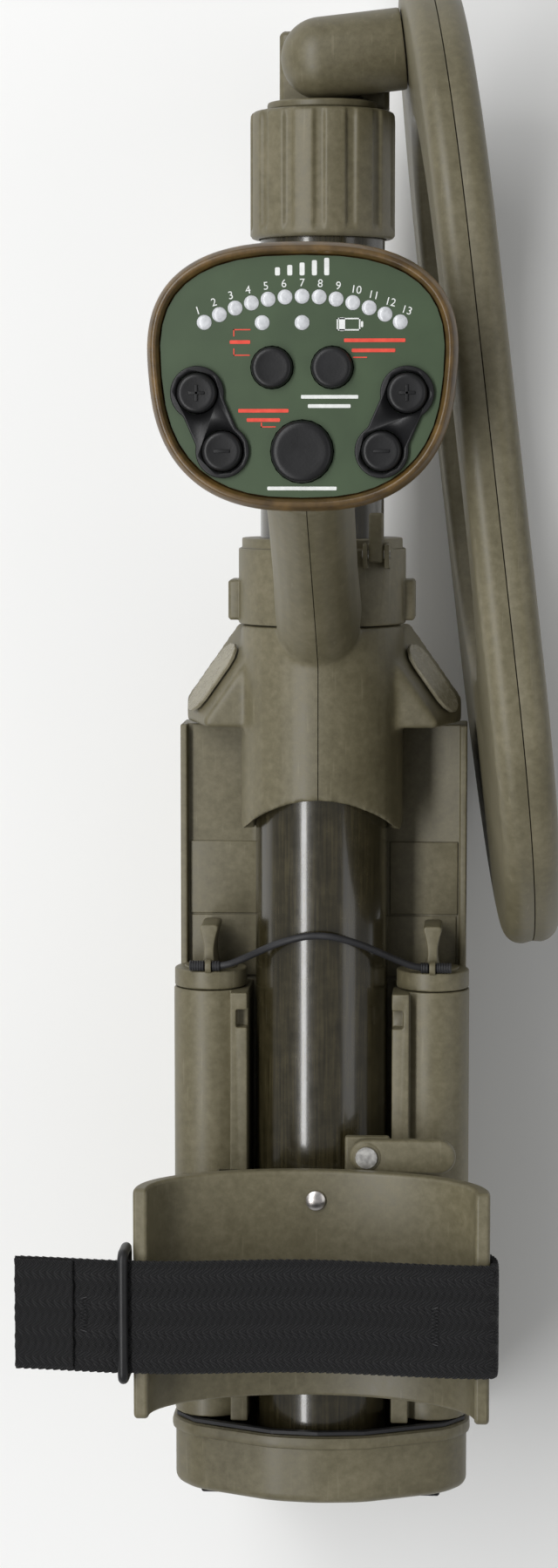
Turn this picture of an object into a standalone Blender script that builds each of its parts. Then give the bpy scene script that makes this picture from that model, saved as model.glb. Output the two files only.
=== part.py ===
"""Compact folding metal detector, stowed: an assembly of separate named parts.

Frame: +Y runs forward along the stem, +Z up, +X to the operator's right.
The origin is on the housing's flat base, below the stem's axis.
Everything is in metres. Run with: blender --background --python part.py
"""
import math

import bmesh
import bpy
from mathutils import Matrix, Vector

# Clearances
GAP = 0.0003              # between pieces that touch
RUN = 0.0004              # radial running clearance of the sliding tubes

# Stem: four nested tubes about one axis parallel to Y
STEM_HEIGHT = 0.0785
STEM_RADIUS = 0.0197
STEM_WALL = 0.0011
STAGE_WALL = 0.0014
STEM_REAR = -0.1110
STEM_FRONT = 0.1670
STAGE_1_FRONT = 0.2580
STAGE_FRONT = 0.2935
STAGE_REAR_STEP = 0.0015

# Twist-lock knob on the front of stage 1
KNOB_WALL = 0.0014         # knob stands this far out of the fixed tube
KNOB_RADIUS = STEM_RADIUS + KNOB_WALL
KNOB_REAR = 0.2572
KNOB_FRONT = 0.2938
KNOB_LIP = 0.0095
KNOB_GRIPS = 14
KNOB_GRIP_DEPTH = 0.0009
COLLET_WALL = 0.0016

# Elbow and search head, which folds back along the right side
ARM_RADIUS = 0.0117
ARM_RISE = 0.0080
ARM_Y = 0.3085
PIVOT_PIN_RADIUS = 0.0040
BLOCK_DEPTH = 0.0110
BLOCK_LEFT = 0.0130
HOUSING_CLEARANCE = 0.00363    # between the housing's front corner and the folded head
HEAD_LEAN = math.radians(3.0)
HEAD_CLEARANCE = 0.0029    # between the knob and the folded head
HEAD_FACE = KNOB_RADIUS + HEAD_CLEARANCE
BLOCK_RIGHT = HEAD_FACE - 0.0050
ARM_LENGTH = HEAD_FACE - GAP
HEAD_THICKNESS = 0.0160
HEAD_LENGTH = 0.2810
HEAD_RADIUS = 0.0840
HEAD_ROUNDING = 0.0045
ARM_INSET = 0.0190         # head reaches this far ahead of the swivel bolt
PIN_HEAD_STEP = 0.0025
PIN_HEAD_THICKNESS = 0.0025
FITTING_FRONT = 0.0095      # block reaches this far ahead of the pivot
FITTING_FLANGE = 0.0030
FITTING_PLUG = 0.0300
BOLT_START = 0.0095         # bottom of the bolt hole, from the elbow centre
WINDOW_FRONT = 0.0400
WINDOW_REAR = 0.0790
WINDOW_RADIUS = 0.0540
TX_INSET = 0.0060
TX_WIDTH = 0.0060
RX_INSET = 0.0050
RX_WIDTH = 0.0050
WINDING_DEPTH = 0.0045

# Battery tubes, two cells in line in each
BORE_RADIUS = 0.0078
TUBE_WALL = 0.0032
TUBE_RADIUS = BORE_RADIUS + TUBE_WALL
TUBE_FRONT = 0.0362
BORE_REAR = -0.0860
CELL_CLEARANCE = 0.00065
CELL_RADIUS = BORE_RADIUS - CELL_CLEARANCE
CELL_LENGTH = 0.0503
SPRING_LENGTH = 0.0137
SPRING_WIRE = 0.0005
RAIL_INNER = STEM_RADIUS + 0.0017
RAIL_WIDTH = 0.0051
RAIL_OUTER = RAIL_INNER + RAIL_WIDTH
TUBE_X = RAIL_OUTER + TUBE_RADIUS * 0.61
RAIL_TOP = 0.0140
NOTCH_FRONT = 0.0312
NOTCH_LENGTH = 0.0053

# Housing
HOUSING_REAR = -0.0935
HOUSING_FRONT = 0.1140
HOUSING_HALF = TUBE_X + TUBE_RADIUS - 0.0012
BASE_HALF = HOUSING_HALF - 0.0050
FOLD_RUN = ARM_Y - HOUSING_FRONT
HEAD_YAW = (math.acos((HEAD_FACE - HOUSING_CLEARANCE) / math.hypot(HOUSING_HALF, FOLD_RUN))
            - math.atan2(FOLD_RUN, HOUSING_HALF))
BASE_FRONT = 0.1050
WALL = 0.0025
SPLIT_HEIGHT = 0.0515
DECK_CLEARANCE = 0.0012    # between the deck and the battery caps
RIM_HEIGHT = 0.0035
RIM_WIDTH = 0.0020
CORNER = 0.0050
COVER_REAR = -0.1160
GASKET = 0.0010
POST_TOP = 0.0140
POST_RADIUS = 0.0030
POST_X = 0.0260
POST_Y = (-0.0700, 0.0280)
BOARD_HALF_WIDTH = 0.0310
BOARD_REAR = -0.0780
BOARD_FRONT = 0.0360
SPEAKER_Y = 0.0700
SPEAKER_RADIUS = 0.0200
SLOT_SPACING = 0.0060
SLOT_LENGTH = 0.0160
SLOT_WIDTH = 0.0020
HOLLOW_INNER = 0.0215       # side hollows of the lid start this far from the middle
HOLLOW_FRONT_WALL = 0.0060
HOLLOW_ROOF = 0.0030
BUMPER_HALF_WIDTH = 0.0360
BUMPER_HALF_HEIGHT = 0.0060
BUMPER = 0.0020

# Battery caps and their tether
CAP_RADIUS = TUBE_RADIUS - 0.0002
DECK_DROP = CAP_RADIUS + DECK_CLEARANCE
CAP_FLANGE = 0.0055
PLUG_LENGTH = 0.0065
WING_LENGTH = 0.0136
WING_ROOT = 0.0020          # half thicknesses of the wing
WING_WAIST = 0.0016
WING_TIP = 0.0031
WING_HALF_HEIGHT = CAP_RADIUS - 0.0028
TETHER_RADIUS = 0.00105
LUG_RISE = WING_HALF_HEIGHT + 0.0018
LUG_FORWARD = 0.0014

# Handle
COLLAR_RADIUS = STEM_RADIUS + 0.0047
COLLAR_REAR = 0.0840
COLLAR_FRONT = 0.1448
GRIP_HALF_WIDTH = 0.0132
GRIP_HALF_DEPTH = 0.0175
GRIP_FOOT_Y = 0.1460
GRIP_TOP_Y = 0.1960
GRIP_FOOT_RISE = 0.0180
GRIP_TOP_RISE = 0.0867
SCALLOP_RADIUS = 0.0317
SCALLOP_DEPTH = 0.0105
SHOULDER_FLARE = 0.0016
SHOULDER_TIP_DEPTH = 0.0080
SHOULDER_SLOPE_X = 0.0034
SHOULDER_SLOPE_Y = 0.0088
SHOULDER_TOP_SHARE = 0.85
SHOULDER_DROP = 0.0140
SHOULDER_RISE = 0.0100
PAD_LENGTH = 0.0240
PAD_SHIFT = 0.0020
PAD_WIDTH = 0.0120
PAD_THICKNESS = 0.0012
NOSE_RADIUS = STEM_RADIUS + 0.0050
NOSE_FRONT = 0.1703
LATCH_X = 0.0167
LATCH_Y = 0.1660
LATCH_WIDTH = 0.0042
LATCH_LENGTH = 0.0120
EAR_WALL = 0.0014
EAR_REAR = 0.0040
EAR_FRONT = 0.0030
EAR_CROWN = 0.0028
LATCH_RISE = NOSE_RADIUS - 0.0011
LATCH_PIN_RADIUS = 0.0012

# Control pod
POD_Y = 0.2150
POD_HALF_WIDTH = 0.0403
POD_HALF_LENGTH = 0.0350
POD_TAPER = 2.2
POD_POWER = 2.6
POD_FLOOR = 0.0870
POD_RIM = 0.1017
POD_FACE = 0.1100
POD_TOP = 0.1120
POD_BOARD = 0.0983
BOARD_THICKNESS = 0.0016
PLATE_THICKNESS = 0.0015
BEZEL_WIDTH = 0.0033
LED_RADIUS = 0.00175
LED_ARC_RADIUS = 0.0520
LED_ARC_TOP = 0.0208
LED_COUNT = 13
LED_STEP = math.radians(4.9)
SMALL_BUTTON = 0.0054
BIG_BUTTON = 0.0081
KEY_RADIUS = 0.00525
SURROUND_RADIUS = 0.00707
SURROUND_THICKNESS = 0.0010
BUTTON_HEIGHT = 0.0030
BUTTON_TRAVEL = 0.0012
BUTTON_FLANGE = 0.0008
BEZEL_LEDGE = 0.0040
UPPER_KEY = (0.0274, -0.0042)
LOWER_KEY = (0.0208, -0.0193)
SMALL_BUTTON_PLACE = (0.00785, 0.0024)
BIG_BUTTON_PLACE = (0.0, -0.0194)
STATUS_LIGHTS = (-0.0104, 0.0)
STATUS_LIGHT_Y = 0.0140

# Arm cuff on its carriage
CARRIAGE_HALF = RAIL_OUTER + 0.0035
CARRIAGE_TOP = STEM_RADIUS + 0.0098
CARRIAGE_FRONT = -0.0153
CARRIAGE_REAR = -0.0760
CUFF_REAR = -0.0795
CUFF_FRONT = -0.0125
CUFF_HALF_WIDTH = 0.0485
CUFF_DEPTH = 0.0270
CUFF_LIP = 0.0030
CUFF_WALL = 0.0042
CUFF_TOP = CARRIAGE_TOP + CUFF_WALL / 2 + GAP + CUFF_DEPTH + CUFF_LIP
LEVER_X = 0.0145
LEVER_Y = -0.0095
LEVER_LENGTH = 0.0210
LEVER_RADIUS = 0.0050
LEVER_THICKNESS = 0.0045
LEVER_BASE = STEM_RADIUS + 0.0043
RIVET_Y = -0.0212
RIVET_SHANK = 0.0015
RIVET_HEAD = 0.0029
RIVET_CROWN = 0.0012
RIVET_DEPTH = 0.0040
LEVER_BED = 0.0065          # half width of the pad under the lever
LEVER_PIN = 0.0020
LEVER_PIN_HEAD = 0.0032
RING_DROP = 0.0075          # bottom bar of the ring, under the strap
STRAP_WIDTH = 0.0326
STRAP_Y = -0.0485
STRAP_THICKNESS = 0.0024
STRAP_TAIL_X = -0.0840
RING_X = -(CUFF_HALF_WIDTH + 0.0045)
RING_WIRE = 0.0015

AXIS_Y = Matrix.Rotation(math.radians(-90), 4, "X")


def linear(hex_colour):
    """Turn an sRGB hex colour into Blender's linear values."""
    channels = [int(hex_colour[i:i + 2], 16) / 255 for i in (0, 2, 4)]
    return [c / 12.92 if c <= 0.04045 else ((c + 0.055) / 1.055) ** 2.4 for c in channels]


def collection(name):
    group = bpy.data.collections.new(name)
    bpy.context.scene.collection.children.link(group)
    return group


def finish(name, hex_colour, roughness=0.5, metallic=0.0):
    surface = bpy.data.materials.new(name)
    surface.use_nodes = True
    shader = surface.node_tree.nodes["Principled BSDF"]
    shader.inputs["Base Color"].default_value = (*linear(hex_colour), 1.0)
    shader.inputs["Roughness"].default_value = roughness
    shader.inputs["Metallic"].default_value = metallic
    return surface


for item in list(bpy.data.objects):
    bpy.data.objects.remove(item, do_unlink=True)
PARTS = collection("metal_detector")
CUTTERS = collection("cutters")

OLIVE = finish("olive_plastic", "6b6654", 0.55)
DARK_OLIVE = finish("dark_olive_plastic", "5a5642", 0.55)
COMPOSITE = finish("olive_composite_tube", "3f3a28", 0.25)
BLACK = finish("black_rubber", "2b2b2d", 0.6)
WEBBING = finish("black_webbing", "1d1c1d", 0.9)
GREEN = finish("green_face", "505f48", 0.5)
BRONZE = finish("brown_bezel", "5b4a2e", 0.35)
STEEL = finish("steel", "d8d0cd", 0.3, 1.0)
COPPER = finish("copper_winding", "a8632c", 0.35, 1.0)
BOARD = finish("circuit_board", "2f5a35", 0.6)
CLEAR = finish("light_guide", "c8c9cc", 0.3)
CELL = finish("battery_cell", "b98a3c", 0.4)


# ---- shapes, each added to a bmesh in world coordinates ----

def new_bm():
    return bmesh.new()


def box(low, high, bevel=0.0):
    """A box between two corners, with its edges rounded if asked."""
    bm = new_bm()
    size = [b - a for a, b in zip(low, high)]
    centre = [(a + b) / 2 for a, b in zip(low, high)]
    bmesh.ops.create_cube(bm, size=1.0)
    bmesh.ops.scale(bm, vec=size, verts=bm.verts)
    bmesh.ops.translate(bm, vec=centre, verts=bm.verts)
    if bevel:
        bmesh.ops.bevel(bm, geom=bm.edges[:], offset=bevel, segments=2, profile=0.5,
                        affect="EDGES", material=-1)
    return bm


def rod(start, end, radius, sides=32):
    """A cylinder between two points."""
    bm = new_bm()
    start, end = Vector(start), Vector(end)
    length = (end - start).length
    turn = Vector((0, 0, 1)).rotation_difference((end - start).normalized()).to_matrix().to_4x4()
    place = Matrix.Translation((start + end) / 2) @ turn
    bmesh.ops.create_cone(bm, cap_ends=True, segments=sides, radius1=radius, radius2=radius,
                          depth=length, matrix=place)
    return bm


def loft(sections, closed=False):
    """Join outlines of equal length, with end faces, or as a ring if closed."""
    bm = new_bm()
    rows = [[bm.verts.new(point) for point in section] for section in sections]
    pairs = list(zip(rows, rows[1:]))
    if closed:
        pairs.append((rows[-1], rows[0]))
    for lower, upper in pairs:
        count = len(lower)
        for i in range(count):
            j = (i + 1) % count
            bm.faces.new((lower[i], lower[j], upper[j], upper[i]))
    if not closed:
        bm.faces.new(rows[0])
        bm.faces.new(rows[-1])
    bmesh.ops.recalc_face_normals(bm, faces=bm.faces)
    return bm


def along_y(outline, rear, front):
    """An (x, z) outline drawn out along Y."""
    return loft([[(x, y, z) for x, z in outline] for y in (rear, front)])


def along_z(outline, low, high):
    """An (x, y) outline drawn up along Z."""
    return loft([[(x, y, z) for x, y in outline] for z in (low, high)])


def arc(centre_x, centre_y, radius, first, last, steps):
    """Points round an arc, angles in degrees."""
    points = []
    for i in range(steps + 1):
        angle = math.radians(first + (last - first) * i / steps)
        points.append((centre_x + radius * math.cos(angle), centre_y + radius * math.sin(angle)))
    return points


def inset(outline, distance):
    """Move each point of a closed counter-clockwise outline inwards."""
    moved = []
    count = len(outline)
    for i in range(count):
        before = Vector(outline[i - 1])
        here = Vector(outline[i])
        after = Vector(outline[(i + 1) % count])
        side_a = (here - before).normalized()
        side_b = (after - here).normalized()
        normal_a = Vector((-side_a.y, side_a.x))
        normal_b = Vector((-side_b.y, side_b.x))
        corner = (normal_a + normal_b).normalized()
        reach = distance / max(corner.dot(normal_a), 0.4)
        moved.append(tuple(here + corner * reach))
    return moved


def both_sides(half):
    """Complete an outline given from its bottom centre up the right side to its top centre."""
    mirrored = [(-x, z) for x, z in reversed(half) if x > 0]
    return half + mirrored


def stadium(first, last, radius, steps=12):
    """Outline of a slot about two centres on the Y axis of its own plane, last above first."""
    upper = [(u, v + last) for u, v in arc(0, 0, radius, 0, 180, steps)]
    lower = [(u, v + first) for u, v in arc(0, 0, radius, 180, 360, steps)]
    return upper + lower


# ---- objects ----

def mesh_from(bm, name):
    mesh = bpy.data.meshes.new(name)
    bm.to_mesh(mesh)
    bm.free()
    return mesh


def part(name, bm, surface, pivot=None, frame=None):
    """Put a bmesh in the assembly. pivot moves only the origin; frame places a local shape."""
    if pivot is not None:
        bmesh.ops.translate(bm, vec=-Vector(pivot), verts=bm.verts)
    item = bpy.data.objects.new(name, mesh_from(bm, name))
    PARTS.objects.link(item)
    item.data.materials.append(surface)
    if pivot is not None:
        item.location = pivot
    if frame is not None:
        item.matrix_world = frame
    item.data.shade_smooth()
    item.data.set_sharp_from_angle(angle=math.radians(35))
    return item


def turned(name, profile, surface, frame, sides=32, closed=False):
    """Turn a (radius, height) profile about its frame's Z axis with a Screw modifier."""
    bm = new_bm()
    verts = [bm.verts.new((radius, 0, height)) for radius, height in profile]
    for a, b in zip(verts, verts[1:]):
        bm.edges.new((a, b))
    if closed:
        bm.edges.new((verts[-1], verts[0]))
    item = bpy.data.objects.new(name, mesh_from(bm, name))
    PARTS.objects.link(item)
    item.data.materials.append(surface)
    item.matrix_world = frame
    screw = item.modifiers.new("turn", "SCREW")
    screw.axis = "Z"
    screw.angle = math.tau
    screw.steps = sides
    screw.render_steps = sides
    screw.use_merge_vertices = True
    screw.merge_threshold = 0.00001
    screw.use_smooth_shade = False
    return item


def combine(target, bm, operation="DIFFERENCE", frame=None):
    """Cut a shape from a part, join it on, or keep only what they share."""
    tool = bpy.data.objects.new(target.name + "_cutter", mesh_from(bm, target.name + "_cutter"))
    CUTTERS.objects.link(tool)
    if frame is not None:
        tool.matrix_world = frame
    tool.hide_render = True
    tool.display_type = "WIRE"
    step = target.modifiers.new(operation.lower(), "BOOLEAN")
    step.operation = operation
    step.solver = "EXACT"
    step.object = tool


def along_stem(x=0.0):
    """Frame whose Z axis lies along Y at the stem's height."""
    return Matrix.Translation((x, 0, STEM_HEIGHT)) @ AXIS_Y


def ring_profile(outer, inner, low, high):
    return [(outer, high), (outer, low), (inner, low), (inner, high)]


# ---- stem ----

def stage_radius(stage):
    """Outer radius of the fixed tube (0) or of a sliding stage (1 to 3)."""
    if stage == 0:
        return STEM_RADIUS
    wall = STEM_WALL if stage == 1 else STAGE_WALL
    return stage_radius(stage - 1) - wall - RUN


def make_stem():
    bore = STEM_RADIUS - STEM_WALL
    turned("stem_outer_tube", ring_profile(STEM_RADIUS, bore, STEM_REAR, STEM_FRONT),
           COMPOSITE, along_stem(), closed=True)
    for stage in (1, 2, 3):
        outer = stage_radius(stage)
        rear = STEM_REAR + STAGE_REAR_STEP * (stage + 1)
        front = STAGE_1_FRONT if stage == 1 else STAGE_FRONT
        turned(f"stem_stage_{stage}", ring_profile(outer, outer - STAGE_WALL, rear, front),
               COMPOSITE, along_stem(), closed=True)


def make_knob():
    inner_lip = stage_radius(2) + RUN
    collet_outer = inner_lip + COLLET_WALL
    lip_rear = KNOB_FRONT - KNOB_LIP
    turned("lock_collet", ring_profile(collet_outer, inner_lip, STAGE_1_FRONT + GAP, lip_rear - GAP),
           BLACK, along_stem(), closed=True)
    outline = []
    for i in range(KNOB_GRIPS):
        middle = 360 * i / KNOB_GRIPS
        half = 90 / KNOB_GRIPS
        outline += arc(0, STEM_HEIGHT, KNOB_RADIUS, middle - half, middle + half, 2)
        valley = KNOB_RADIUS - KNOB_GRIP_DEPTH
        outline += arc(0, STEM_HEIGHT, valley, middle + half * 1.3, middle + half * 2.7, 1)
    knob = part("lock_knob", along_y(outline, KNOB_REAR, KNOB_FRONT), OLIVE,
                pivot=(0, 0, STEM_HEIGHT))
    bore = collet_outer + GAP
    combine(knob, rod((0, KNOB_REAR - WALL, STEM_HEIGHT), (0, lip_rear, STEM_HEIGHT), bore))
    combine(knob, rod((0, lip_rear - WALL, STEM_HEIGHT), (0, KNOB_FRONT + WALL, STEM_HEIGHT), inner_lip))


# ---- elbow and search head ----

ELBOW = Vector((0, ARM_Y, STEM_HEIGHT + ARM_RISE))
HEAD_FRAME = (Matrix.Translation(ELBOW) @ Matrix.Rotation(HEAD_YAW, 4, "Z")
              @ Matrix.Rotation(HEAD_LEAN, 4, "Y"))
ARM_FRAME = HEAD_FRAME @ Matrix.Rotation(math.radians(90), 4, "Y")


def make_elbow():
    lean_drop = BLOCK_RIGHT * math.tan(HEAD_LEAN)
    block_top = ELBOW.z - ARM_RADIUS - lean_drop - GAP
    block_low = block_top - BLOCK_DEPTH
    flange_rear = STAGE_FRONT + GAP * 2
    flange_front = ARM_Y - ARM_RADIUS - GAP
    bore = stage_radius(3) - STAGE_WALL
    fitting = part("stem_end_fitting",
                   box((-BLOCK_LEFT, flange_rear + GAP, block_low),
                       (BLOCK_RIGHT, ARM_Y + FITTING_FRONT, block_top), 0.0015), OLIVE)
    combine(fitting, rod((0, flange_rear, STEM_HEIGHT), (0, flange_front, STEM_HEIGHT),
                         bore + FITTING_FLANGE), "UNION")
    combine(fitting, rod((0, STAGE_FRONT - FITTING_PLUG, STEM_HEIGHT), (0, flange_front - GAP, STEM_HEIGHT),
                         bore - GAP), "UNION")
    pin_hole = PIVOT_PIN_RADIUS + GAP
    pin_top = ELBOW.z - PIVOT_PIN_RADIUS / 2
    combine(fitting, rod((0, ARM_Y, block_low - WALL), (0, ARM_Y, block_top + WALL), pin_hole, 20))
    head_radius = PIVOT_PIN_RADIUS + PIN_HEAD_STEP
    head_low = block_low - GAP - PIN_HEAD_THICKNESS
    profile = [(0, pin_top), (PIVOT_PIN_RADIUS, pin_top), (PIVOT_PIN_RADIUS, block_low - GAP),
               (head_radius, block_low - GAP), (head_radius, head_low), (0, head_low)]
    turned("elbow_pin", profile, STEEL, Matrix.Translation((0, ARM_Y, 0)), 20)
    dome = [(ARM_RADIUS * math.cos(t), -ARM_RADIUS * math.sin(t))
            for t in (math.pi / 2 * i / 6 for i in range(6))]
    arm = turned("elbow_arm", [(0, ARM_LENGTH), (ARM_RADIUS, ARM_LENGTH)] + dome + [(0, -ARM_RADIUS)],
                 OLIVE, ARM_FRAME)
    combine(arm, rod((0, ARM_Y, block_low), (0, ARM_Y, pin_top + GAP), pin_hole, 20))
    combine(arm, rod((BOLT_START, 0, 0), (ARM_LENGTH + WALL, 0, 0), pin_hole, 20), frame=HEAD_FRAME)


def head_outline(front, rear, radius):
    """Slot outline in the head's own (Y, Z) plane between its foremost and rearmost points."""
    return [(v, u) for u, v in stadium(rear + radius, front - radius, radius)]


def head_ring(outer, inner, low, high):
    """Closed ring between two outlines, from one depth to another."""
    return loft([[(x, y, z) for y, z in line]
                 for x, line in ((low, outer), (high, outer), (high, inner), (low, inner))], closed=True)


def make_head():
    front, rear = ARM_INSET, ARM_INSET - HEAD_LENGTH
    window_front, window_rear = front - WINDOW_FRONT, rear + WINDOW_REAR
    seam = HEAD_FACE + HEAD_THICKNESS / 2
    back = HEAD_FACE + HEAD_THICKNESS
    outer = head_outline(front, rear, HEAD_RADIUS)
    window = head_outline(window_front, window_rear, WINDOW_RADIUS)
    bolt_end = seam - GAP
    bolt_start = BOLT_START + GAP
    turned("swivel_bolt", [(0, bolt_end), (PIVOT_PIN_RADIUS, bolt_end), (PIVOT_PIN_RADIUS, bolt_start),
                           (0, bolt_start)], STEEL, ARM_FRAME, 20)

    def shell(name, face, joint):
        bm = loft([[(x, y, z) for y, z in outer] for x in (face, joint)])
        edges = [e for e in bm.edges if all(abs(v.co.x - face) < 1e-6 for v in e.verts)]
        bmesh.ops.bevel(bm, geom=edges, offset=HEAD_ROUNDING, segments=2, profile=0.5,
                        affect="EDGES", material=-1)
        item = part(name, bm, OLIVE, frame=HEAD_FRAME)
        reach = [[(x, y, z) for y, z in window] for x in (HEAD_FACE - WALL, back + WALL)]
        combine(item, loft(reach), frame=HEAD_FRAME)
        return item

    upper = shell("head_upper_shell", HEAD_FACE, seam - GAP / 2)
    shell("head_lower_shell", back, seam + GAP / 2)
    combine(upper, rod((HEAD_FACE - WALL, 0, 0), (seam + WALL, 0, 0), PIVOT_PIN_RADIUS + GAP, 20),
            frame=HEAD_FRAME)
    windings = (("transmit_winding", front, rear, HEAD_RADIUS, -TX_INSET - TX_WIDTH, TX_WIDTH),
                ("receive_winding", window_front, window_rear, WINDOW_RADIUS, RX_INSET, RX_WIDTH))
    low, high = seam - GAP * 1.5 - WINDING_DEPTH, seam - GAP * 1.5
    for name, first, last, radius, shift, width in windings:
        def line(offset):
            return head_outline(first + offset, last - offset, radius + offset)
        part(name, head_ring(line(shift + width), line(shift), low, high), COPPER, frame=HEAD_FRAME)
        combine(upper, head_ring(line(shift + width + GAP), line(shift - GAP), low - GAP, seam + WALL),
                frame=HEAD_FRAME)


# ---- housing ----

def make_housing_lower():
    def walls(low, high, shrink):
        def corners(half, front):
            return [(-half, HOUSING_REAR + shrink), (half, HOUSING_REAR + shrink),
                    (half, front - shrink), (-half, front - shrink)]
        sections = ((low, BASE_HALF - shrink, BASE_FRONT), (high, HOUSING_HALF - shrink, HOUSING_FRONT))
        bm = loft([[(x, y, z) for x, y in corners(half, front)] for z, half, front in sections])
        upright = [e for e in bm.edges if abs(e.verts[0].co.z - e.verts[1].co.z) > WALL]
        bmesh.ops.bevel(bm, geom=upright, offset=CORNER - shrink / 2, segments=3, profile=0.5,
                        affect="EDGES", material=-1)
        return bm

    top = SPLIT_HEIGHT - GAP
    tub = part("housing_lower", walls(0.0, top, 0.0), OLIVE)
    combine(tub, walls(WALL, top + WALL, WALL))
    for x in (-POST_X, POST_X):
        for y in POST_Y:
            combine(tub, rod((x, y, WALL / 2), (x, y, POST_TOP), POST_RADIUS, 12), "UNION")
    board_low = POST_TOP + GAP
    board_high = board_low + BOARD_THICKNESS
    part("main_board", box((-BOARD_HALF_WIDTH, BOARD_REAR, board_low),
                           (BOARD_HALF_WIDTH, BOARD_FRONT, board_high)), BOARD)
    low = WALL + GAP
    cone = SPEAKER_RADIUS * 0.30
    magnet = SPEAKER_RADIUS * 0.45
    basket = SPEAKER_RADIUS * 0.55
    profile = [(0, low + 0.0080), (magnet, low + 0.0080), (basket, low + 0.0040),
               (SPEAKER_RADIUS, low + 0.0030), (SPEAKER_RADIUS, low), (SPEAKER_RADIUS * 0.90, low),
               (cone, low + 0.0030), (0, low + 0.0035)]
    turned("speaker", profile, BLACK, Matrix.Translation((0, SPEAKER_Y, 0)), 24)
    for x in (-SLOT_SPACING, 0.0, SLOT_SPACING):
        combine(tub, box((x - SLOT_WIDTH / 2, SPEAKER_Y - SLOT_LENGTH / 2, -WALL),
                         (x + SLOT_WIDTH / 2, SPEAKER_Y + SLOT_LENGTH / 2, WALL * 2)))


def trough(centre_rise):
    """Right half of the channel the stem lies in, from the deck down to the centre."""
    radius = STEM_RADIUS + GAP
    start = math.degrees(math.asin(-DECK_DROP / radius))
    return [(x, z + centre_rise) for x, z in arc(0, 0, radius, start, -90, 5)]


def make_housing_upper():
    deck = STEM_HEIGHT - DECK_DROP
    channel = trough(STEM_HEIGHT)
    side = math.degrees(math.acos((HOUSING_HALF - TUBE_X) / TUBE_RADIUS))
    inner = math.degrees(math.acos((RAIL_OUTER - TUBE_X) / TUBE_RADIUS))
    rail = STEM_HEIGHT + RAIL_TOP
    rear_half = [(0, SPLIT_HEIGHT), (HOUSING_HALF, SPLIT_HEIGHT)]
    rear_half += arc(TUBE_X, STEM_HEIGHT, TUBE_RADIUS, -side, inner, 9)
    rear_half += [(RAIL_OUTER, rail), (RAIL_INNER, rail), (RAIL_INNER, deck)] + channel
    front_half = [(0, SPLIT_HEIGHT), (HOUSING_HALF, SPLIT_HEIGHT), (HOUSING_HALF, deck + RIM_HEIGHT),
                  (HOUSING_HALF - RIM_WIDTH, deck + RIM_HEIGHT), (HOUSING_HALF - RIM_WIDTH, deck)] + channel
    rear_half[-1] = (0, rear_half[-1][1])
    front_half[-1] = (0, front_half[-1][1])
    lid = part("housing_upper", along_y(both_sides(rear_half), HOUSING_REAR, TUBE_FRONT), OLIVE)
    combine(lid, along_y(both_sides(front_half), TUBE_FRONT - WALL, HOUSING_FRONT), "UNION")
    for sign in (-1, 1):
        x = sign * TUBE_X
        combine(lid, rod((x, BORE_REAR, STEM_HEIGHT), (x, TUBE_FRONT + WALL, STEM_HEIGHT), BORE_RADIUS, 24))
        near, far = sorted((sign * (RAIL_INNER - WALL), sign * (RAIL_INNER + 0.0033)))
        combine(lid, box((near, NOTCH_FRONT - NOTCH_LENGTH, rail - 0.0045), (far, NOTCH_FRONT, rail + WALL)))
        near, far = sorted((sign * HOLLOW_INNER, sign * (HOUSING_HALF - WALL)))
        combine(lid, box((near, HOUSING_REAR + WALL, SPLIT_HEIGHT - WALL),
                         (far, HOUSING_FRONT - HOLLOW_FRONT_WALL, deck - HOLLOW_ROOF)))
    combine(lid, box((-0.0200, HOUSING_REAR + WALL, SPLIT_HEIGHT - WALL),
                     (0.0200, COLLAR_REAR - 0.0040, SPLIT_HEIGHT + 0.0045)))
    combine(lid, rod((0, COLLAR_REAR - GAP, STEM_HEIGHT), (0, HOUSING_FRONT + WALL, STEM_HEIGHT),
                     COLLAR_RADIUS + GAP, 40))


def cover_outline():
    """Right half of the rear cover seen from behind, from the bottom centre to the ridge."""
    h = STEM_HEIGHT
    return [(0, 0), (BASE_HALF, 0), (HOUSING_HALF, SPLIT_HEIGHT), (HOUSING_HALF + 0.0010, h - 0.0030),
            (HOUSING_HALF + 0.0010, h + 0.0040), (HOUSING_HALF - 0.0050, h + 0.0120),
            (0.0140, h + 0.0225), (0, h + 0.0240)]


def make_rear_cover():
    outline = both_sides(cover_outline())
    gasket_front = HOUSING_REAR - GAP
    cover_front = gasket_front - GASKET - GAP
    inner = inset(outline, WALL)
    bm = along_y(outline, COVER_REAR, cover_front)
    edges = [e for e in bm.edges if all(abs(v.co.y - COVER_REAR) < 1e-6 for v in e.verts)]
    edges = [e for e in edges if max(v.co.z for v in e.verts) > WALL]
    bmesh.ops.bevel(bm, geom=edges, offset=WALL, segments=2, profile=0.5, affect="EDGES", material=-1)
    cover = part("rear_cover", bm, OLIVE)
    combine(cover, along_y(inner, COVER_REAR + WALL, cover_front + WALL))
    wide, narrow = inset(outline, GAP * 2), inset(outline, WALL)
    gasket_rear = gasket_front - GASKET
    corners = ((gasket_rear, wide), (gasket_front, wide), (gasket_front, narrow), (gasket_rear, narrow))
    ring = [[(x, y, z) for x, z in line] for y, line in corners]
    part("rear_gasket", loft(ring, closed=True), BLACK)
    part("rear_bumper", box((-BUMPER_HALF_WIDTH, COVER_REAR - GAP - BUMPER, STEM_HEIGHT - BUMPER_HALF_HEIGHT),
                            (BUMPER_HALF_WIDTH, COVER_REAR - GAP, STEM_HEIGHT + BUMPER_HALF_HEIGHT), 0.0006),
         BLACK)


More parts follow.
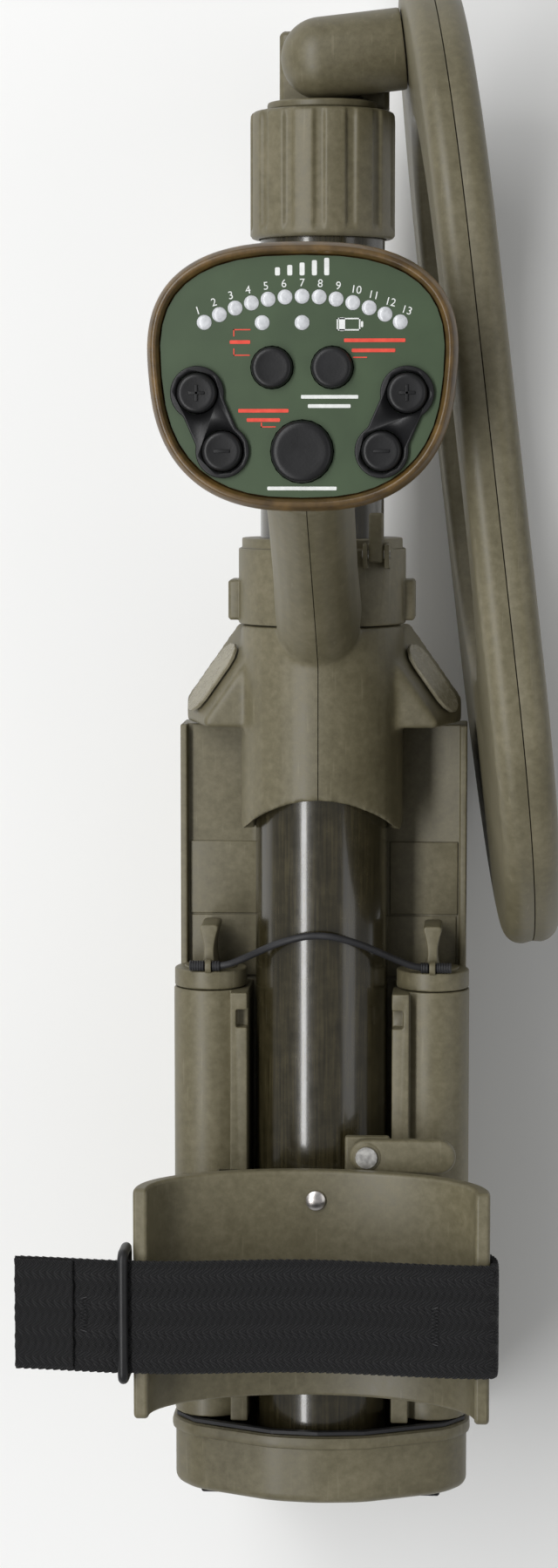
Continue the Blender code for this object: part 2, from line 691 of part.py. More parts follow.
def make_batteries():
    cell_rear = BORE_REAR + SPRING_LENGTH + GAP * 2
    for side, sign in (("left", -1), ("right", 1)):
        x = sign * TUBE_X
        for place, start in (("rear", cell_rear), ("front", cell_rear + CELL_LENGTH + GAP)):
            end = start + CELL_LENGTH
            button = 0.0028
            profile = [(0, end), (button, end), (button, end - 0.0015), (CELL_RADIUS, end - 0.0015),
                       (CELL_RADIUS, start), (0, start)]
            turned(f"{side}_cell_{place}", profile, CELL, along_stem(x), 16)
        make_spring(f"{side}_contact_spring", x)


def make_spring(name, x):
    """Conical contact spring: a steel wire wound along the bore."""
    turns, per_turn = 3, 10
    curve = bpy.data.curves.new(name, "CURVE")
    curve.dimensions = "3D"
    curve.bevel_depth = SPRING_WIRE
    curve.bevel_resolution = 1
    curve.use_fill_caps = True
    spline = curve.splines.new("POLY")
    count = turns * per_turn + 1
    spline.points.add(count - 1)
    low = BORE_REAR + GAP + SPRING_WIRE
    rise = SPRING_LENGTH - GAP - SPRING_WIRE * 2
    for i in range(count):
        share = i / (count - 1)
        angle = math.tau * turns * share
        radius = 0.0062 - 0.0020 * share
        spline.points[i].co = (radius * math.cos(angle), radius * math.sin(angle), low + rise * share, 1)
    item = bpy.data.objects.new(name, curve)
    item.matrix_world = along_stem(x)
    curve.materials.append(STEEL)
    PARTS.objects.link(item)


def make_caps():
    plug_front = TUBE_FRONT + GAP
    plug_rear = plug_front - PLUG_LENGTH
    flange_front = plug_front + CAP_FLANGE
    groove_low, groove_high = plug_rear + 0.0020, plug_rear + 0.0038
    plug = BORE_RADIUS - GAP
    groove = BORE_RADIUS - 0.0016
    ring_wire = 0.0005
    ring_centre = BORE_RADIUS - GAP - ring_wire
    for side, sign in (("left", -1), ("right", 1)):
        x = sign * TUBE_X
        ease = 0.0006
        profile = [(0, flange_front), (CAP_RADIUS - ease, flange_front), (CAP_RADIUS, flange_front - ease),
                   (CAP_RADIUS, plug_front), (plug, plug_front), (plug, groove_high), (groove, groove_high),
                   (groove, groove_low), (plug, groove_low), (plug, plug_rear), (0, plug_rear)]
        cap = turned(f"{side}_battery_cap", profile, OLIVE, along_stem(x), 24)
        waist, tip = flange_front + 0.0060, flange_front + WING_LENGTH
        outline = [(x - WING_ROOT, flange_front - WALL), (x + WING_ROOT, flange_front - WALL),
                   (x + WING_WAIST, waist), (x + WING_TIP, tip), (x - WING_TIP, tip), (x - WING_WAIST, waist)]
        wing_low, wing_high = STEM_HEIGHT - WING_HALF_HEIGHT, STEM_HEIGHT + WING_HALF_HEIGHT
        combine(cap, along_z(outline, wing_low, wing_high), "UNION")
        lug_y, lug_z = flange_front + LUG_FORWARD, STEM_HEIGHT + LUG_RISE
        combine(cap, box((x - 0.0009, flange_front - 0.0005, STEM_HEIGHT + WING_HALF_HEIGHT - 0.0008),
                         (x + 0.0009, lug_y + 0.0020, lug_z + 0.0019)), "UNION")
        combine(cap, rod((x - WALL, lug_y, lug_z), (x + WALL, lug_y, lug_z), TETHER_RADIUS + GAP, 12))
        middle = (groove_low + groove_high) / 2
        hoop = [(ring_centre + r, middle + h) for r, h in arc(0, 0, ring_wire, 90, -270, 6)[:-1]]
        turned(f"{side}_cap_o_ring", hoop, BLACK, along_stem(x), 20, closed=True)


def smooth_route(points, per_span):
    """Catmull-Rom curve through the points."""
    line = [Vector(p) for p in points]
    ends = [line[0] * 2 - line[1]] + line + [line[-1] * 2 - line[-2]]
    route = []
    for i in range(1, len(ends) - 2):
        a, b, c, d = ends[i - 1:i + 3]
        for k in range(per_span):
            t = k / per_span
            route.append(0.5 * (2 * b + (c - a) * t + (2 * a - 5 * b + 4 * c - d) * t ** 2
                                + (3 * b - a - 3 * c + d) * t ** 3))
    return route + [line[-1]]


def make_tether():
    y = TUBE_FRONT + GAP + CAP_FLANGE + LUG_FORWARD
    h = STEM_HEIGHT
    half = [(0.0385, y, h + LUG_RISE), (0.0290, y + 0.0004, h + LUG_RISE),
            (0.0225, y + 0.0030, h + 0.0125), (0.0130, y + 0.0080, h + 0.0185),
            (0.0055, y + 0.0106, h + 0.0212)]
    points = [(-px, py, pz) for px, py, pz in half] + [(0, y + 0.0112, h + 0.0216)] + half[::-1]
    curve = bpy.data.curves.new("cap_tether", "CURVE")
    curve.dimensions = "3D"
    curve.bevel_depth = TETHER_RADIUS
    curve.bevel_resolution = 2
    curve.use_fill_caps = True
    route = smooth_route(points, 3)
    spline = curve.splines.new("POLY")
    spline.points.add(len(route) - 1)
    for point, place in zip(spline.points, route):
        point.co = (*place, 1)
    item = bpy.data.objects.new("cap_tether", curve)
    curve.materials.append(BLACK)
    PARTS.objects.link(item)


# ---- handle ----

def wing_corners(sign):
    """Foot and top outlines of a shoulder, foremost point first."""
    root = STEM_RADIUS - 0.0017
    tip = HOUSING_HALF - 0.0010
    rear = HOUSING_FRONT + GAP * 2
    foot = [(COLLAR_RADIUS + SHOULDER_FLARE, COLLAR_FRONT), (tip, HOUSING_FRONT + SHOULDER_TIP_DEPTH),
            (tip, rear), (root, rear), (root, COLLAR_FRONT)]
    run_x, run_y = foot[1][0] - foot[0][0], foot[1][1] - foot[0][1]
    top_first = (COLLAR_RADIUS - SHOULDER_SLOPE_X, COLLAR_FRONT - SHOULDER_SLOPE_Y)
    top_second = (top_first[0] + run_x * SHOULDER_TOP_SHARE, top_first[1] + run_y * SHOULDER_TOP_SHARE)
    top = [top_first, top_second, (top_second[0], foot[2][1]), foot[3], (root, top_first[1])]
    low, high = STEM_HEIGHT - SHOULDER_DROP, STEM_HEIGHT + SHOULDER_RISE
    return [[(sign * x, y, low) for x, y in foot], [(sign * x, y, high) for x, y in top]]


def grip_section(share):
    y = GRIP_FOOT_Y + (GRIP_TOP_Y - GRIP_FOOT_Y) * share
    z = STEM_HEIGHT + GRIP_FOOT_RISE + (GRIP_TOP_RISE - GRIP_FOOT_RISE) * share
    waist = 1.0 - 0.06 * math.sin(math.pi * share)
    points = []
    for i in range(20):
        angle = math.tau * i / 20
        reach_x, reach_y = GRIP_HALF_WIDTH * waist, GRIP_HALF_DEPTH * waist
        points.append((reach_x * math.cos(angle), y + reach_y * math.sin(angle), z))
    return points


def make_handle():
    h = STEM_HEIGHT
    for side, sign in (("left", -1), ("right", 1)):
        collar = rod((0, COLLAR_REAR, h), (0, COLLAR_FRONT, h), COLLAR_RADIUS, 40)
        half = part(f"handle_{side}", collar, OLIVE)
        combine(half, loft([grip_section(i / 3) for i in range(4)]), "UNION")
        combine(half, loft(wing_corners(sign)), "UNION")
        combine(half, rod((0, COLLAR_REAR - WALL, h), (0, COLLAR_FRONT + WALL, h), STEM_RADIUS + GAP, 40))
        combine(half, rod((0, COLLAR_FRONT + 0.00001, h), (0, NOSE_FRONT + WALL, h), NOSE_RADIUS + GAP, 40))
        combine(half, rod((0, COLLAR_REAR + SCALLOP_DEPTH - SCALLOP_RADIUS, h + 0.0020),
                          (0, COLLAR_REAR + SCALLOP_DEPTH - SCALLOP_RADIUS, h + 0.0300), SCALLOP_RADIUS, 48))
        near, far = sorted((-sign * 0.0600, sign * GAP / 2))
        combine(half, box((near, COLLAR_REAR - 0.0100, 0.0), (far, POD_Y + 0.0200, h + 0.1200)))
        make_shoulder_pad(side, sign)


def make_shoulder_pad(side, sign):
    """Oval pad let in on a shoulder's slanted face."""
    foot, top = [[Vector(p) for p in line[:2]] for line in wing_corners(sign)]
    centre = (foot[0] + foot[1] + top[0] + top[1]) / 4
    along = (foot[1] - foot[0]).normalized()
    normal = along.cross(top[0] - foot[0]).normalized()
    if normal.z < 0:
        normal = -normal
    across = normal.cross(along)
    frame = Matrix((across, along, normal)).transposed().to_4x4()
    frame.translation = centre + normal * GAP + along * PAD_SHIFT
    reach = (PAD_LENGTH - PAD_WIDTH) / 2
    part(f"{side}_shoulder_pad", along_z(stadium(-reach, reach, PAD_WIDTH / 2, 6), 0.0, PAD_THICKNESS),
         DARK_OLIVE, frame=frame)


def make_nose():
    h = STEM_HEIGHT
    bore = STEM_RADIUS + GAP
    lip = stage_radius(1) + RUN
    rear = COLLAR_FRONT + GAP
    shoulder = STEM_FRONT + GAP
    profile = [(NOSE_RADIUS, NOSE_FRONT - 0.0030), (NOSE_RADIUS, rear), (bore, rear), (bore, shoulder),
               (lip, shoulder), (lip, NOSE_FRONT), (NOSE_RADIUS - 0.0010, NOSE_FRONT),
               (NOSE_RADIUS - 0.0010, NOSE_FRONT - 0.0030)]
    nose = turned("nose_clamp", profile, OLIVE, along_stem(), 40, closed=True)
    for sign in (-1, 1):
        near, far = sorted((sign * (bore + 0.0020), sign * (NOSE_RADIUS + 0.0028)))
        combine(nose, box((near, rear + 0.0010, h - 0.0090), (far, 0.1580, h + 0.0050), 0.0008), "UNION")
    inner, outer = LATCH_X - LATCH_WIDTH / 2 - GAP, LATCH_X + LATCH_WIDTH / 2 + GAP
    ears = ((inner - EAR_WALL, inner, NOSE_RADIUS - 0.0077), (outer, outer + EAR_WALL, NOSE_RADIUS - 0.0122))
    ear_top = LATCH_RISE + EAR_CROWN
    for near, far, low in ears:
        combine(nose, box((near, LATCH_Y - EAR_REAR, h + low),
                          (far, LATCH_Y + EAR_FRONT, h + ear_top)), "UNION")
    hole = LATCH_PIN_RADIUS + GAP
    start, end = ears[0][0] - GAP, ears[1][1] + GAP
    axis = h + LATCH_RISE
    combine(nose, rod((start - WALL, LATCH_Y, axis), (end + WALL, LATCH_Y, axis), hole, 12))
    part("latch_pin", rod((start, LATCH_Y, axis), (end, LATCH_Y, axis), LATCH_PIN_RADIUS, 12), STEEL)
    near, far = ears[0][1] + GAP, ears[1][0] - GAP
    latch = part("stem_latch", box((near, LATCH_Y - 0.0022, axis - 0.0018),
                                   (far, LATCH_Y + LATCH_LENGTH, axis + 0.0024), 0.0006), OLIVE,
                 pivot=(0, LATCH_Y, axis))
    combine(latch, rod((near - WALL, LATCH_Y, axis), (far + WALL, LATCH_Y, axis), hole, 12))


# ---- control pod ----

def pod_outline(shrink, points=40):
    """Rounded outline, wider at the front, moved inwards by shrink, in world X and Y."""
    line = []
    for i in range(points):
        angle = math.tau * i / points
        c, s = math.cos(angle), math.sin(angle)
        y = POD_HALF_LENGTH * math.copysign(abs(s) ** (2 / POD_POWER), s)
        x = POD_HALF_WIDTH * (1 + POD_TAPER * y) * math.copysign(abs(c) ** (2 / POD_POWER), c)
        line.append((x, y))
    return [(x, y + POD_Y) for x, y in inset(line, shrink)]


def pod_loft(sections, closed=False):
    levels = [[(x, y, STEM_HEIGHT + rise) for x, y in pod_outline(shrink)] for rise, shrink in sections]
    return loft(levels, closed)


def make_pod():
    back = part("pod_back", pod_loft([(POD_FLOOR, 0.0150), (POD_FLOOR + 0.0065, 0.0062),
                                      (POD_RIM - 0.0045, 0.0024), (POD_RIM, 0.0008)]), OLIVE)
    combine(back, pod_loft([(POD_BOARD - GAP, 0.0042), (POD_RIM + WALL, 0.0042)]))
    combine(back, pod_loft([(POD_FLOOR + WALL, 0.0160), (POD_BOARD + GAP, 0.0090)]))
    low, ledge = POD_RIM + GAP, POD_FACE - PLATE_THICKNESS - GAP
    part("pod_bezel", pod_loft([(low, 0.0005), (low + 0.0020, 0.0), (POD_FACE, 0.0003), (POD_TOP, 0.0012),
                                (POD_TOP, 0.0024), (POD_FACE, BEZEL_WIDTH), (ledge, BEZEL_WIDTH),
                                (ledge, BEZEL_LEDGE), (low, BEZEL_LEDGE)], closed=True), BRONZE)
    part("display_board", pod_loft([(POD_BOARD, 0.0046), (POD_BOARD + BOARD_THICKNESS, 0.0046)]), BOARD)
    plate = part("face_plate", pod_loft([(POD_FACE - PLATE_THICKNESS, BEZEL_WIDTH + GAP),
                                         (POD_FACE, BEZEL_WIDTH + GAP)]), GREEN)
    for x, y in led_places():
        combine(plate, pod_rod(x, y, LED_RADIUS + GAP, POD_FACE - 0.0050, POD_TOP, 8))
    for name, (x, y), radius in button_places():
        combine(plate, pod_rod(x, y, radius + GAP, POD_FACE - 0.0050, POD_TOP, 20))
    for side, sign in (("left", -1), ("right", 1)):
        make_surround(side, sign)
    for name, place, radius in button_places():
        raised = SURROUND_THICKNESS if radius == KEY_RADIUS else 0.0
        make_button(name, place, radius, raised)
    make_light_guide()


def pod_rod(x, y, radius, low, high, sides):
    return rod((x, POD_Y + y, STEM_HEIGHT + low), (x, POD_Y + y, STEM_HEIGHT + high), radius, sides)


def led_places():
    """Centres of the bar of lights and of the two status lights, from the pod's centre."""
    centre_y = LED_ARC_TOP - LED_ARC_RADIUS
    places = []
    for i in range(LED_COUNT):
        angle = LED_STEP * (i - (LED_COUNT - 1) / 2)
        places.append((LED_ARC_RADIUS * math.sin(angle), centre_y + LED_ARC_RADIUS * math.cos(angle)))
    return places + [(x, STATUS_LIGHT_Y) for x in STATUS_LIGHTS]


def button_places():
    places = [("main_button", BIG_BUTTON_PLACE, BIG_BUTTON)]
    for side, sign in (("left", -1), ("right", 1)):
        x, y = SMALL_BUTTON_PLACE
        places.append((f"{side}_mode_button", (sign * x, y), SMALL_BUTTON))
        places.append((f"{side}_plus_key", (sign * UPPER_KEY[0], UPPER_KEY[1]), KEY_RADIUS))
        places.append((f"{side}_minus_key", (sign * LOWER_KEY[0], LOWER_KEY[1]), KEY_RADIUS))
    return places


def make_surround(side, sign):
    """Raised pad round a pair of keys."""
    upper = Vector((sign * UPPER_KEY[0], UPPER_KEY[1], 0))
    lower = Vector((sign * LOWER_KEY[0], LOWER_KEY[1], 0))
    span = (upper - lower).length
    frame = Matrix.Rotation(-math.atan2((upper - lower).x, (upper - lower).y), 4, "Z")
    frame.translation = lower + Vector((0, POD_Y, STEM_HEIGHT + POD_FACE + GAP))
    pad = part(f"{side}_key_surround", along_z(stadium(0, span, SURROUND_RADIUS, 8), 0, SURROUND_THICKNESS),
               BLACK, frame=frame)
    for point in (upper, lower):
        combine(pad, pod_rod(point.x, point.y, KEY_RADIUS + GAP, POD_FACE - WALL, POD_TOP + WALL, 20))


def make_button(name, place, radius, raised):
    top = POD_FACE + BUTTON_HEIGHT + raised - 0.0006
    under = POD_FACE - PLATE_THICKNESS - GAP
    foot = POD_BOARD + BOARD_THICKNESS + BUTTON_TRAVEL + GAP * 2
    profile = [(0, top), (radius * 0.7, top - 0.0003), (radius, top - 0.0012), (radius, under),
               (radius + BUTTON_FLANGE, under), (radius + BUTTON_FLANGE, under - 0.0012),
               (radius * 0.6, under - 0.0012), (radius * 0.6, foot), (0, foot)]
    frame = Matrix.Translation((place[0], POD_Y + place[1], STEM_HEIGHT))
    turned(name, profile, BLACK, frame, 20)


def make_light_guide():
    centre_y = POD_Y + LED_ARC_TOP - LED_ARC_RADIUS
    reach = math.degrees(LED_STEP) * (LED_COUNT - 1) / 2 + 2.5
    outer = arc(0, centre_y, LED_ARC_RADIUS + LED_RADIUS, 90 - reach, 90 + reach, 12)
    inner = arc(0, centre_y, LED_ARC_RADIUS - LED_RADIUS, 90 + reach, 90 - reach, 12)
    high = POD_FACE - PLATE_THICKNESS - GAP
    low = high - 0.0024
    guide = part("light_guide", along_z(outer + inner, STEM_HEIGHT + low, STEM_HEIGHT + high), CLEAR)
    for x in STATUS_LIGHTS:
        bar = 0.0014
        combine(guide, box((x - bar, POD_Y + STATUS_LIGHT_Y - 0.0020, STEM_HEIGHT + low + GAP),
                           (x + bar, POD_Y + LED_ARC_TOP - 0.0012, STEM_HEIGHT + high - GAP)), "UNION")
    for x, y in led_places():
        combine(guide, pod_rod(x, y, LED_RADIUS, low + GAP * 2, POD_FACE + GAP, 8), "UNION")


# ---- arm cuff ----

def cuff_curve(grow, first, last, steps):
    """Points (x, z) on the cuff's U, moved outwards by grow; 0 degrees is the floor's centre."""
    points = []
    for i in range(steps + 1):
        angle = math.radians(first + (last - first) * i / steps)
        points.append(((CUFF_HALF_WIDTH + grow) * math.sin(angle),
                       STEM_HEIGHT + CUFF_TOP - CUFF_LIP - (CUFF_DEPTH + grow) * math.cos(angle)))
    return points


def make_cuff():
    h = STEM_HEIGHT
    bm = new_bm()
    top = h + CUFF_TOP
    line = [(-CUFF_HALF_WIDTH, top)] + cuff_curve(0, -90, 90, 16) + [(CUFF_HALF_WIDTH, top)]
    rows = [[bm.verts.new((x, y, z)) for x, z in line] for y in (CUFF_REAR, CUFF_FRONT)]
    for i in range(len(line) - 1):
        bm.faces.new((rows[0][i], rows[0][i + 1], rows[1][i + 1], rows[1][i]))
    cuff = part("arm_cuff", bm, OLIVE)
    shell = cuff.modifiers.new("wall", "SOLIDIFY")
    shell.thickness = CUFF_WALL
    shell.offset = 0
    shell.use_even_offset = True
    floor = h + CUFF_TOP - CUFF_LIP - CUFF_DEPTH + CUFF_WALL / 2
    shank = RIVET_SHANK
    hole = shank + GAP
    shank_low = h + CARRIAGE_TOP - RIVET_DEPTH
    combine(cuff, rod((0, RIVET_Y, shank_low), (0, RIVET_Y, floor + WALL), hole, 12))
    top = floor + GAP * 2
    crown = top + RIVET_CROWN
    profile = [(0, crown), (RIVET_HEAD * 0.76, crown - 0.0002), (RIVET_HEAD, top), (shank, top),
               (shank, shank_low), (0, shank_low)]
    turned("cuff_rivet", profile, STEEL, Matrix.Translation((0, RIVET_Y, 0)), 16)

    underside = h + STEM_RADIUS + GAP * 2
    carriage = part("cuff_carriage", box((-CARRIAGE_HALF, CARRIAGE_REAR, underside),
                                         (CARRIAGE_HALF, CARRIAGE_FRONT, h + CARRIAGE_TOP), 0.0008), OLIVE)
    leg_inner = RAIL_OUTER + GAP
    for sign in (-1, 1):
        near, far = sorted((sign * RAIL_INNER, sign * (CARRIAGE_HALF - GAP)))
        combine(carriage, box((near, CARRIAGE_REAR + WALL, h + RAIL_TOP + GAP),
                              (far, CARRIAGE_FRONT - WALL, underside + WALL)), "UNION")
        near, far = sorted((sign * leg_inner, sign * (CARRIAGE_HALF - GAP)))
        combine(carriage, box((near, CARRIAGE_REAR + WALL, h + TUBE_RADIUS + GAP),
                              (far, CARRIAGE_FRONT - WALL, h + RAIL_TOP + WALL)), "UNION")
    combine(carriage, box((LEVER_X - LEVER_BED, CARRIAGE_FRONT - WALL, underside + GAP / 3),
                          (LEVER_X + LEVER_BED, LEVER_Y + LEVER_RADIUS, h + LEVER_BASE - GAP)), "UNION")
    combine(carriage, rod((0, RIVET_Y, shank_low - GAP), (0, RIVET_Y, h + CARRIAGE_TOP + WALL), hole, 12))
    pin = LEVER_PIN
    pin_low = h + LEVER_BASE - 0.0025
    lever_top = h + LEVER_BASE + LEVER_THICKNESS
    combine(carriage, rod((LEVER_X, LEVER_Y, pin_low - GAP), (LEVER_X, LEVER_Y, lever_top), pin + GAP, 12))
    outline = [(LEVER_X + v, LEVER_Y + u) for u, v in stadium(0, LEVER_LENGTH, LEVER_RADIUS, 8)]
    lever = part("cuff_lever", along_z(outline, h + LEVER_BASE, lever_top), OLIVE,
                 pivot=(LEVER_X, LEVER_Y, h))
    combine(lever, rod((LEVER_X, LEVER_Y, pin_low), (LEVER_X, LEVER_Y, lever_top + WALL), pin + GAP, 12))
    head = lever_top + GAP
    profile = [(0, head + 0.0010), (LEVER_PIN_HEAD, head + 0.0010), (LEVER_PIN_HEAD, head),
               (pin, head), (pin, pin_low), (0, pin_low)]
    turned("lever_pin", profile, STEEL, Matrix.Translation((LEVER_X, LEVER_Y, 0)), 16)


def make_strap():
    low = STEM_HEIGHT + CUFF_TOP + GAP
    grow = CUFF_WALL / 2 + GAP * 2
    outer = cuff_curve(grow + STRAP_THICKNESS, 45, 90, 4)
    inner = cuff_curve(grow, 90, 45, 4)
    bend = [(x, z) for x, z in arc(outer[-1][0] - STRAP_THICKNESS, low + 0.0006, STRAP_THICKNESS, 30, 90, 3)]
    outline = outer + bend + [(STRAP_TAIL_X, low + STRAP_THICKNESS), (STRAP_TAIL_X, low), (inner[0][0], low)]
    outline += inner
    part("cuff_strap", along_y(outline, STRAP_Y - STRAP_WIDTH / 2, STRAP_Y + STRAP_WIDTH / 2), WEBBING)
    ring_half = STRAP_WIDTH / 2 + GAP + RING_WIRE
    ring_low = low - RING_DROP
    ring_high = low + STRAP_THICKNESS + GAP + RING_WIRE
    corner = (RING_X - RING_WIRE, STRAP_Y - ring_half - RING_WIRE, ring_low - RING_WIRE)
    opposite = (RING_X + RING_WIRE, STRAP_Y + ring_half + RING_WIRE, ring_high + RING_WIRE)
    ring = part("strap_ring", box(corner, opposite, 0.0009), BLACK)
    combine(ring, box((RING_X - WALL, STRAP_Y - ring_half + RING_WIRE, ring_low + RING_WIRE),
                      (RING_X + WALL, STRAP_Y + ring_half - RING_WIRE, ring_high - RING_WIRE)))


make_stem()
make_knob()
make_elbow()
make_head()
make_housing_lower()
make_housing_upper()
make_rear_cover()
make_batteries()
make_caps()
make_tether()
make_handle()
make_nose()
make_pod()
make_cuff()
make_strap()
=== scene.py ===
import math

import bmesh
import bpy
from mathutils import Matrix, Vector


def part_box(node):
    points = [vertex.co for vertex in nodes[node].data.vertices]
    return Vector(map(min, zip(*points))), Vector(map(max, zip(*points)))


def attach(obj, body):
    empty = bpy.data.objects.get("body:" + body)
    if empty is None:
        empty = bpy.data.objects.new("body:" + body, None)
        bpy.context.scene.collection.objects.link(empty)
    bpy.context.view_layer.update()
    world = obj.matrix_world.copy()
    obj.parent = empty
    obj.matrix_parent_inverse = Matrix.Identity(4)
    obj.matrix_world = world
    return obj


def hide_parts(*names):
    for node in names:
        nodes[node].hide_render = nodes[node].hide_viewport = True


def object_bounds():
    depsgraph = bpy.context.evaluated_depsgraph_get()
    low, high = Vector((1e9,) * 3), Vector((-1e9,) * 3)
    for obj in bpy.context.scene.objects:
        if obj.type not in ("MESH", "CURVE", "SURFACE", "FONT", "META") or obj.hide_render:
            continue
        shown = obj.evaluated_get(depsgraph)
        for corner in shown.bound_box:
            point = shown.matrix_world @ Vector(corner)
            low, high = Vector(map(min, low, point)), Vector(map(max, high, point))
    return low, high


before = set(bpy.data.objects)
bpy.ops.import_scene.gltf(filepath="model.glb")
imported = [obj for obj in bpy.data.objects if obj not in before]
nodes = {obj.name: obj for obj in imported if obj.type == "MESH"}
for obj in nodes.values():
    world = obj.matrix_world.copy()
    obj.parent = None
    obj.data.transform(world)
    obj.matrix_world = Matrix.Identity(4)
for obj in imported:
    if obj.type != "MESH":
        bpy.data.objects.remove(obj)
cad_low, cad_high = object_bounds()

# ---------------------------------------------------------------- camera, floor and light
# The detector lies on a pale table. The camera looks down on it from ahead of its middle, a
# little to its right, so the deep end of each part leans away from the middle of the view.

CAMERA_PLACE = Vector((0.0471, 0.1962, 1.0486))
CAMERA_AIM = Vector((-0.0128, 0.0970, 0.0785))
LENS_MM = 75.3
LIGHT_AIM = Vector((0, 0.08, 0.07))
FLOOR_REACH = 4.0
FLOOR_GAP = 0.0003


def linked(name, data):
    """Makes an object of this data and puts it in the scene."""
    made = bpy.data.objects.new(name, data)
    bpy.context.scene.collection.objects.link(made)
    return made


camera_data = bpy.data.cameras.new("camera")
camera_data.lens = LENS_MM
camera = linked("camera", camera_data)
forward = (CAMERA_AIM - CAMERA_PLACE).normalized()
right = forward.cross(Vector((0, 1, 0))).normalized()
camera.matrix_world = Matrix((right, right.cross(forward), -forward)).transposed().to_4x4()
camera.location = CAMERA_PLACE
bpy.context.scene.camera = camera


def softbox(name, place, size, power):
    """Adds a rectangular studio light that faces the detector, its long side along the stem."""
    data = bpy.data.lights.new(name, "AREA")
    data.shape = "RECTANGLE"
    data.size, data.size_y = size
    data.energy = power
    lamp = linked(name, data)
    ahead = (LIGHT_AIM - Vector(place)).normalized()
    across = ahead.cross(Vector((0, 1, 0))).normalized()
    lamp.matrix_world = Matrix((across, across.cross(ahead), -ahead)).transposed().to_4x4()
    lamp.location = place


softbox("key_strip", (-0.60, 0.05, 1.20), (0.20, 1.8), 14.0)
softbox("front_left_softbox", (-0.55, 1.0, 0.95), (0.7, 0.7), 5.0)
softbox("right_fill", (0.95, 0.15, 0.85), (0.5, 1.0), 1.6)
softbox("rear_fill", (-0.1, -1.3, 0.7), (1.2, 0.5), 0.4)

world = bpy.data.worlds.new("studio")
bpy.context.scene.world = world
world.use_nodes = True
world.node_tree.nodes["Background"].inputs["Color"].default_value = (0.93, 0.94, 0.95, 1)
world.node_tree.nodes["Background"].inputs["Strength"].default_value = 0.31
bpy.context.scene.view_settings.view_transform = "Standard"


def linear(hex_colour):
    """Turns an sRGB hex colour into linear light, with full alpha."""
    channels = [int(hex_colour[i:i + 2], 16) / 255 for i in (0, 2, 4)]
    return (*[c / 12.92 if c <= 0.04045 else ((c + 0.055) / 1.055) ** 2.4 for c in channels], 1.0)


def add(tree, kind, settings=None, inputs=None):
    """Adds one shader node. An input is a value, or the output socket that feeds it."""
    node = tree.nodes.new("ShaderNode" + kind)
    for field, value in (settings or {}).items():
        setattr(node, field, value)
    for key, value in (inputs or {}).items():
        if isinstance(value, bpy.types.NodeSocket):
            tree.links.new(value, node.inputs[key])
        else:
            node.inputs[key].default_value = value
    return node


def positions(tree):
    """Where each point of the surface lies in its own object, in metres."""
    return add(tree, "TexCoord").outputs["Object"]


def surface(name, roughness, metallic=0.0, **sockets):
    """Starts a material and returns it with its tree and its shader."""
    made = bpy.data.materials.new(name)
    made.use_nodes = True
    shader = made.node_tree.nodes["Principled BSDF"]
    shader.inputs["Roughness"].default_value = roughness
    shader.inputs["Metallic"].default_value = metallic
    for key, value in sockets.items():
        shader.inputs[key.replace("_", " ")].default_value = value
    return made, made.node_tree, shader


def spread(tree, factor, *stops):
    """Turns a 0 to 1 pattern into colours through a ramp of (place, hex colour) stops."""
    ramp = add(tree, "ValToRGB", inputs={"Fac": factor})
    elements = ramp.color_ramp.elements
    while len(elements) < len(stops):
        elements.new(0.5)
    for element, (place, colour) in zip(elements, stops):
        element.position = place
        element.color = linear(colour)
    return ramp.outputs["Color"]


def shade(tree, shader, factor, *stops):
    """Colours the whole surface through a ramp."""
    tree.links.new(spread(tree, factor, *stops), shader.inputs["Base Color"])


def per_mm(size):
    """The scale of a pattern whose features are this many millimetres apart."""
    return 1000.0 / size


def noise(tree, where, size, detail, **more):
    """A cloudy 0 to 1 pattern whose features are size millimetres apart."""
    inputs = {"Vector": where, "Scale": per_mm(size), "Detail": detail, **more}
    return add(tree, "TexNoise", inputs=inputs).outputs["Fac"]


paper, tree, shader = surface("matt_card_backdrop", 0.85)
where = positions(tree)
tooth = noise(tree, where, 400, 3.0)
shade(tree, shader, tooth, (0.3, "efefee"), (0.7, "f4f4f3"))

bm = bmesh.new()
bmesh.ops.create_grid(bm, x_segments=8, y_segments=8, size=FLOOR_REACH)
bmesh.ops.translate(bm, vec=(0, 0, cad_low.z - FLOOR_GAP), verts=bm.verts)
floor_mesh = bpy.data.meshes.new("floor")
bm.to_mesh(floor_mesh)
bm.free()
floor = linked("floor", floor_mesh)
floor.data.materials.append(paper)

# ---------------------------------------------------------------- cap tether
# One short stiff cord joins the two battery caps so that neither is lost. It is a moulded
# polyurethane line, swaged at each lug with ribbed ferrules, and it bows up over the stem.

BOTH_SIDES = (("left", -1), ("right", 1))
STEM_HEIGHT = 0.0785
TETHER_RADIUS = 0.00105
WELD_DISTANCE = 0.000002
LUG_Y = 0.0434
LUG_RISE = 0.0098
TETHER_HALF = [(0.0385, LUG_Y, STEM_HEIGHT + LUG_RISE), (0.0290, LUG_Y + 0.0004, STEM_HEIGHT + LUG_RISE),
               (0.0225, LUG_Y + 0.0030, STEM_HEIGHT + 0.0125), (0.0130, LUG_Y + 0.0080, STEM_HEIGHT + 0.0185),
               (0.0055, LUG_Y + 0.0106, STEM_HEIGHT + 0.0212)]
TETHER_POINTS = ([(-x, y, z) for x, y, z in TETHER_HALF] + [(0, LUG_Y + 0.0112, STEM_HEIGHT + 0.0216)]
                 + TETHER_HALF[::-1])


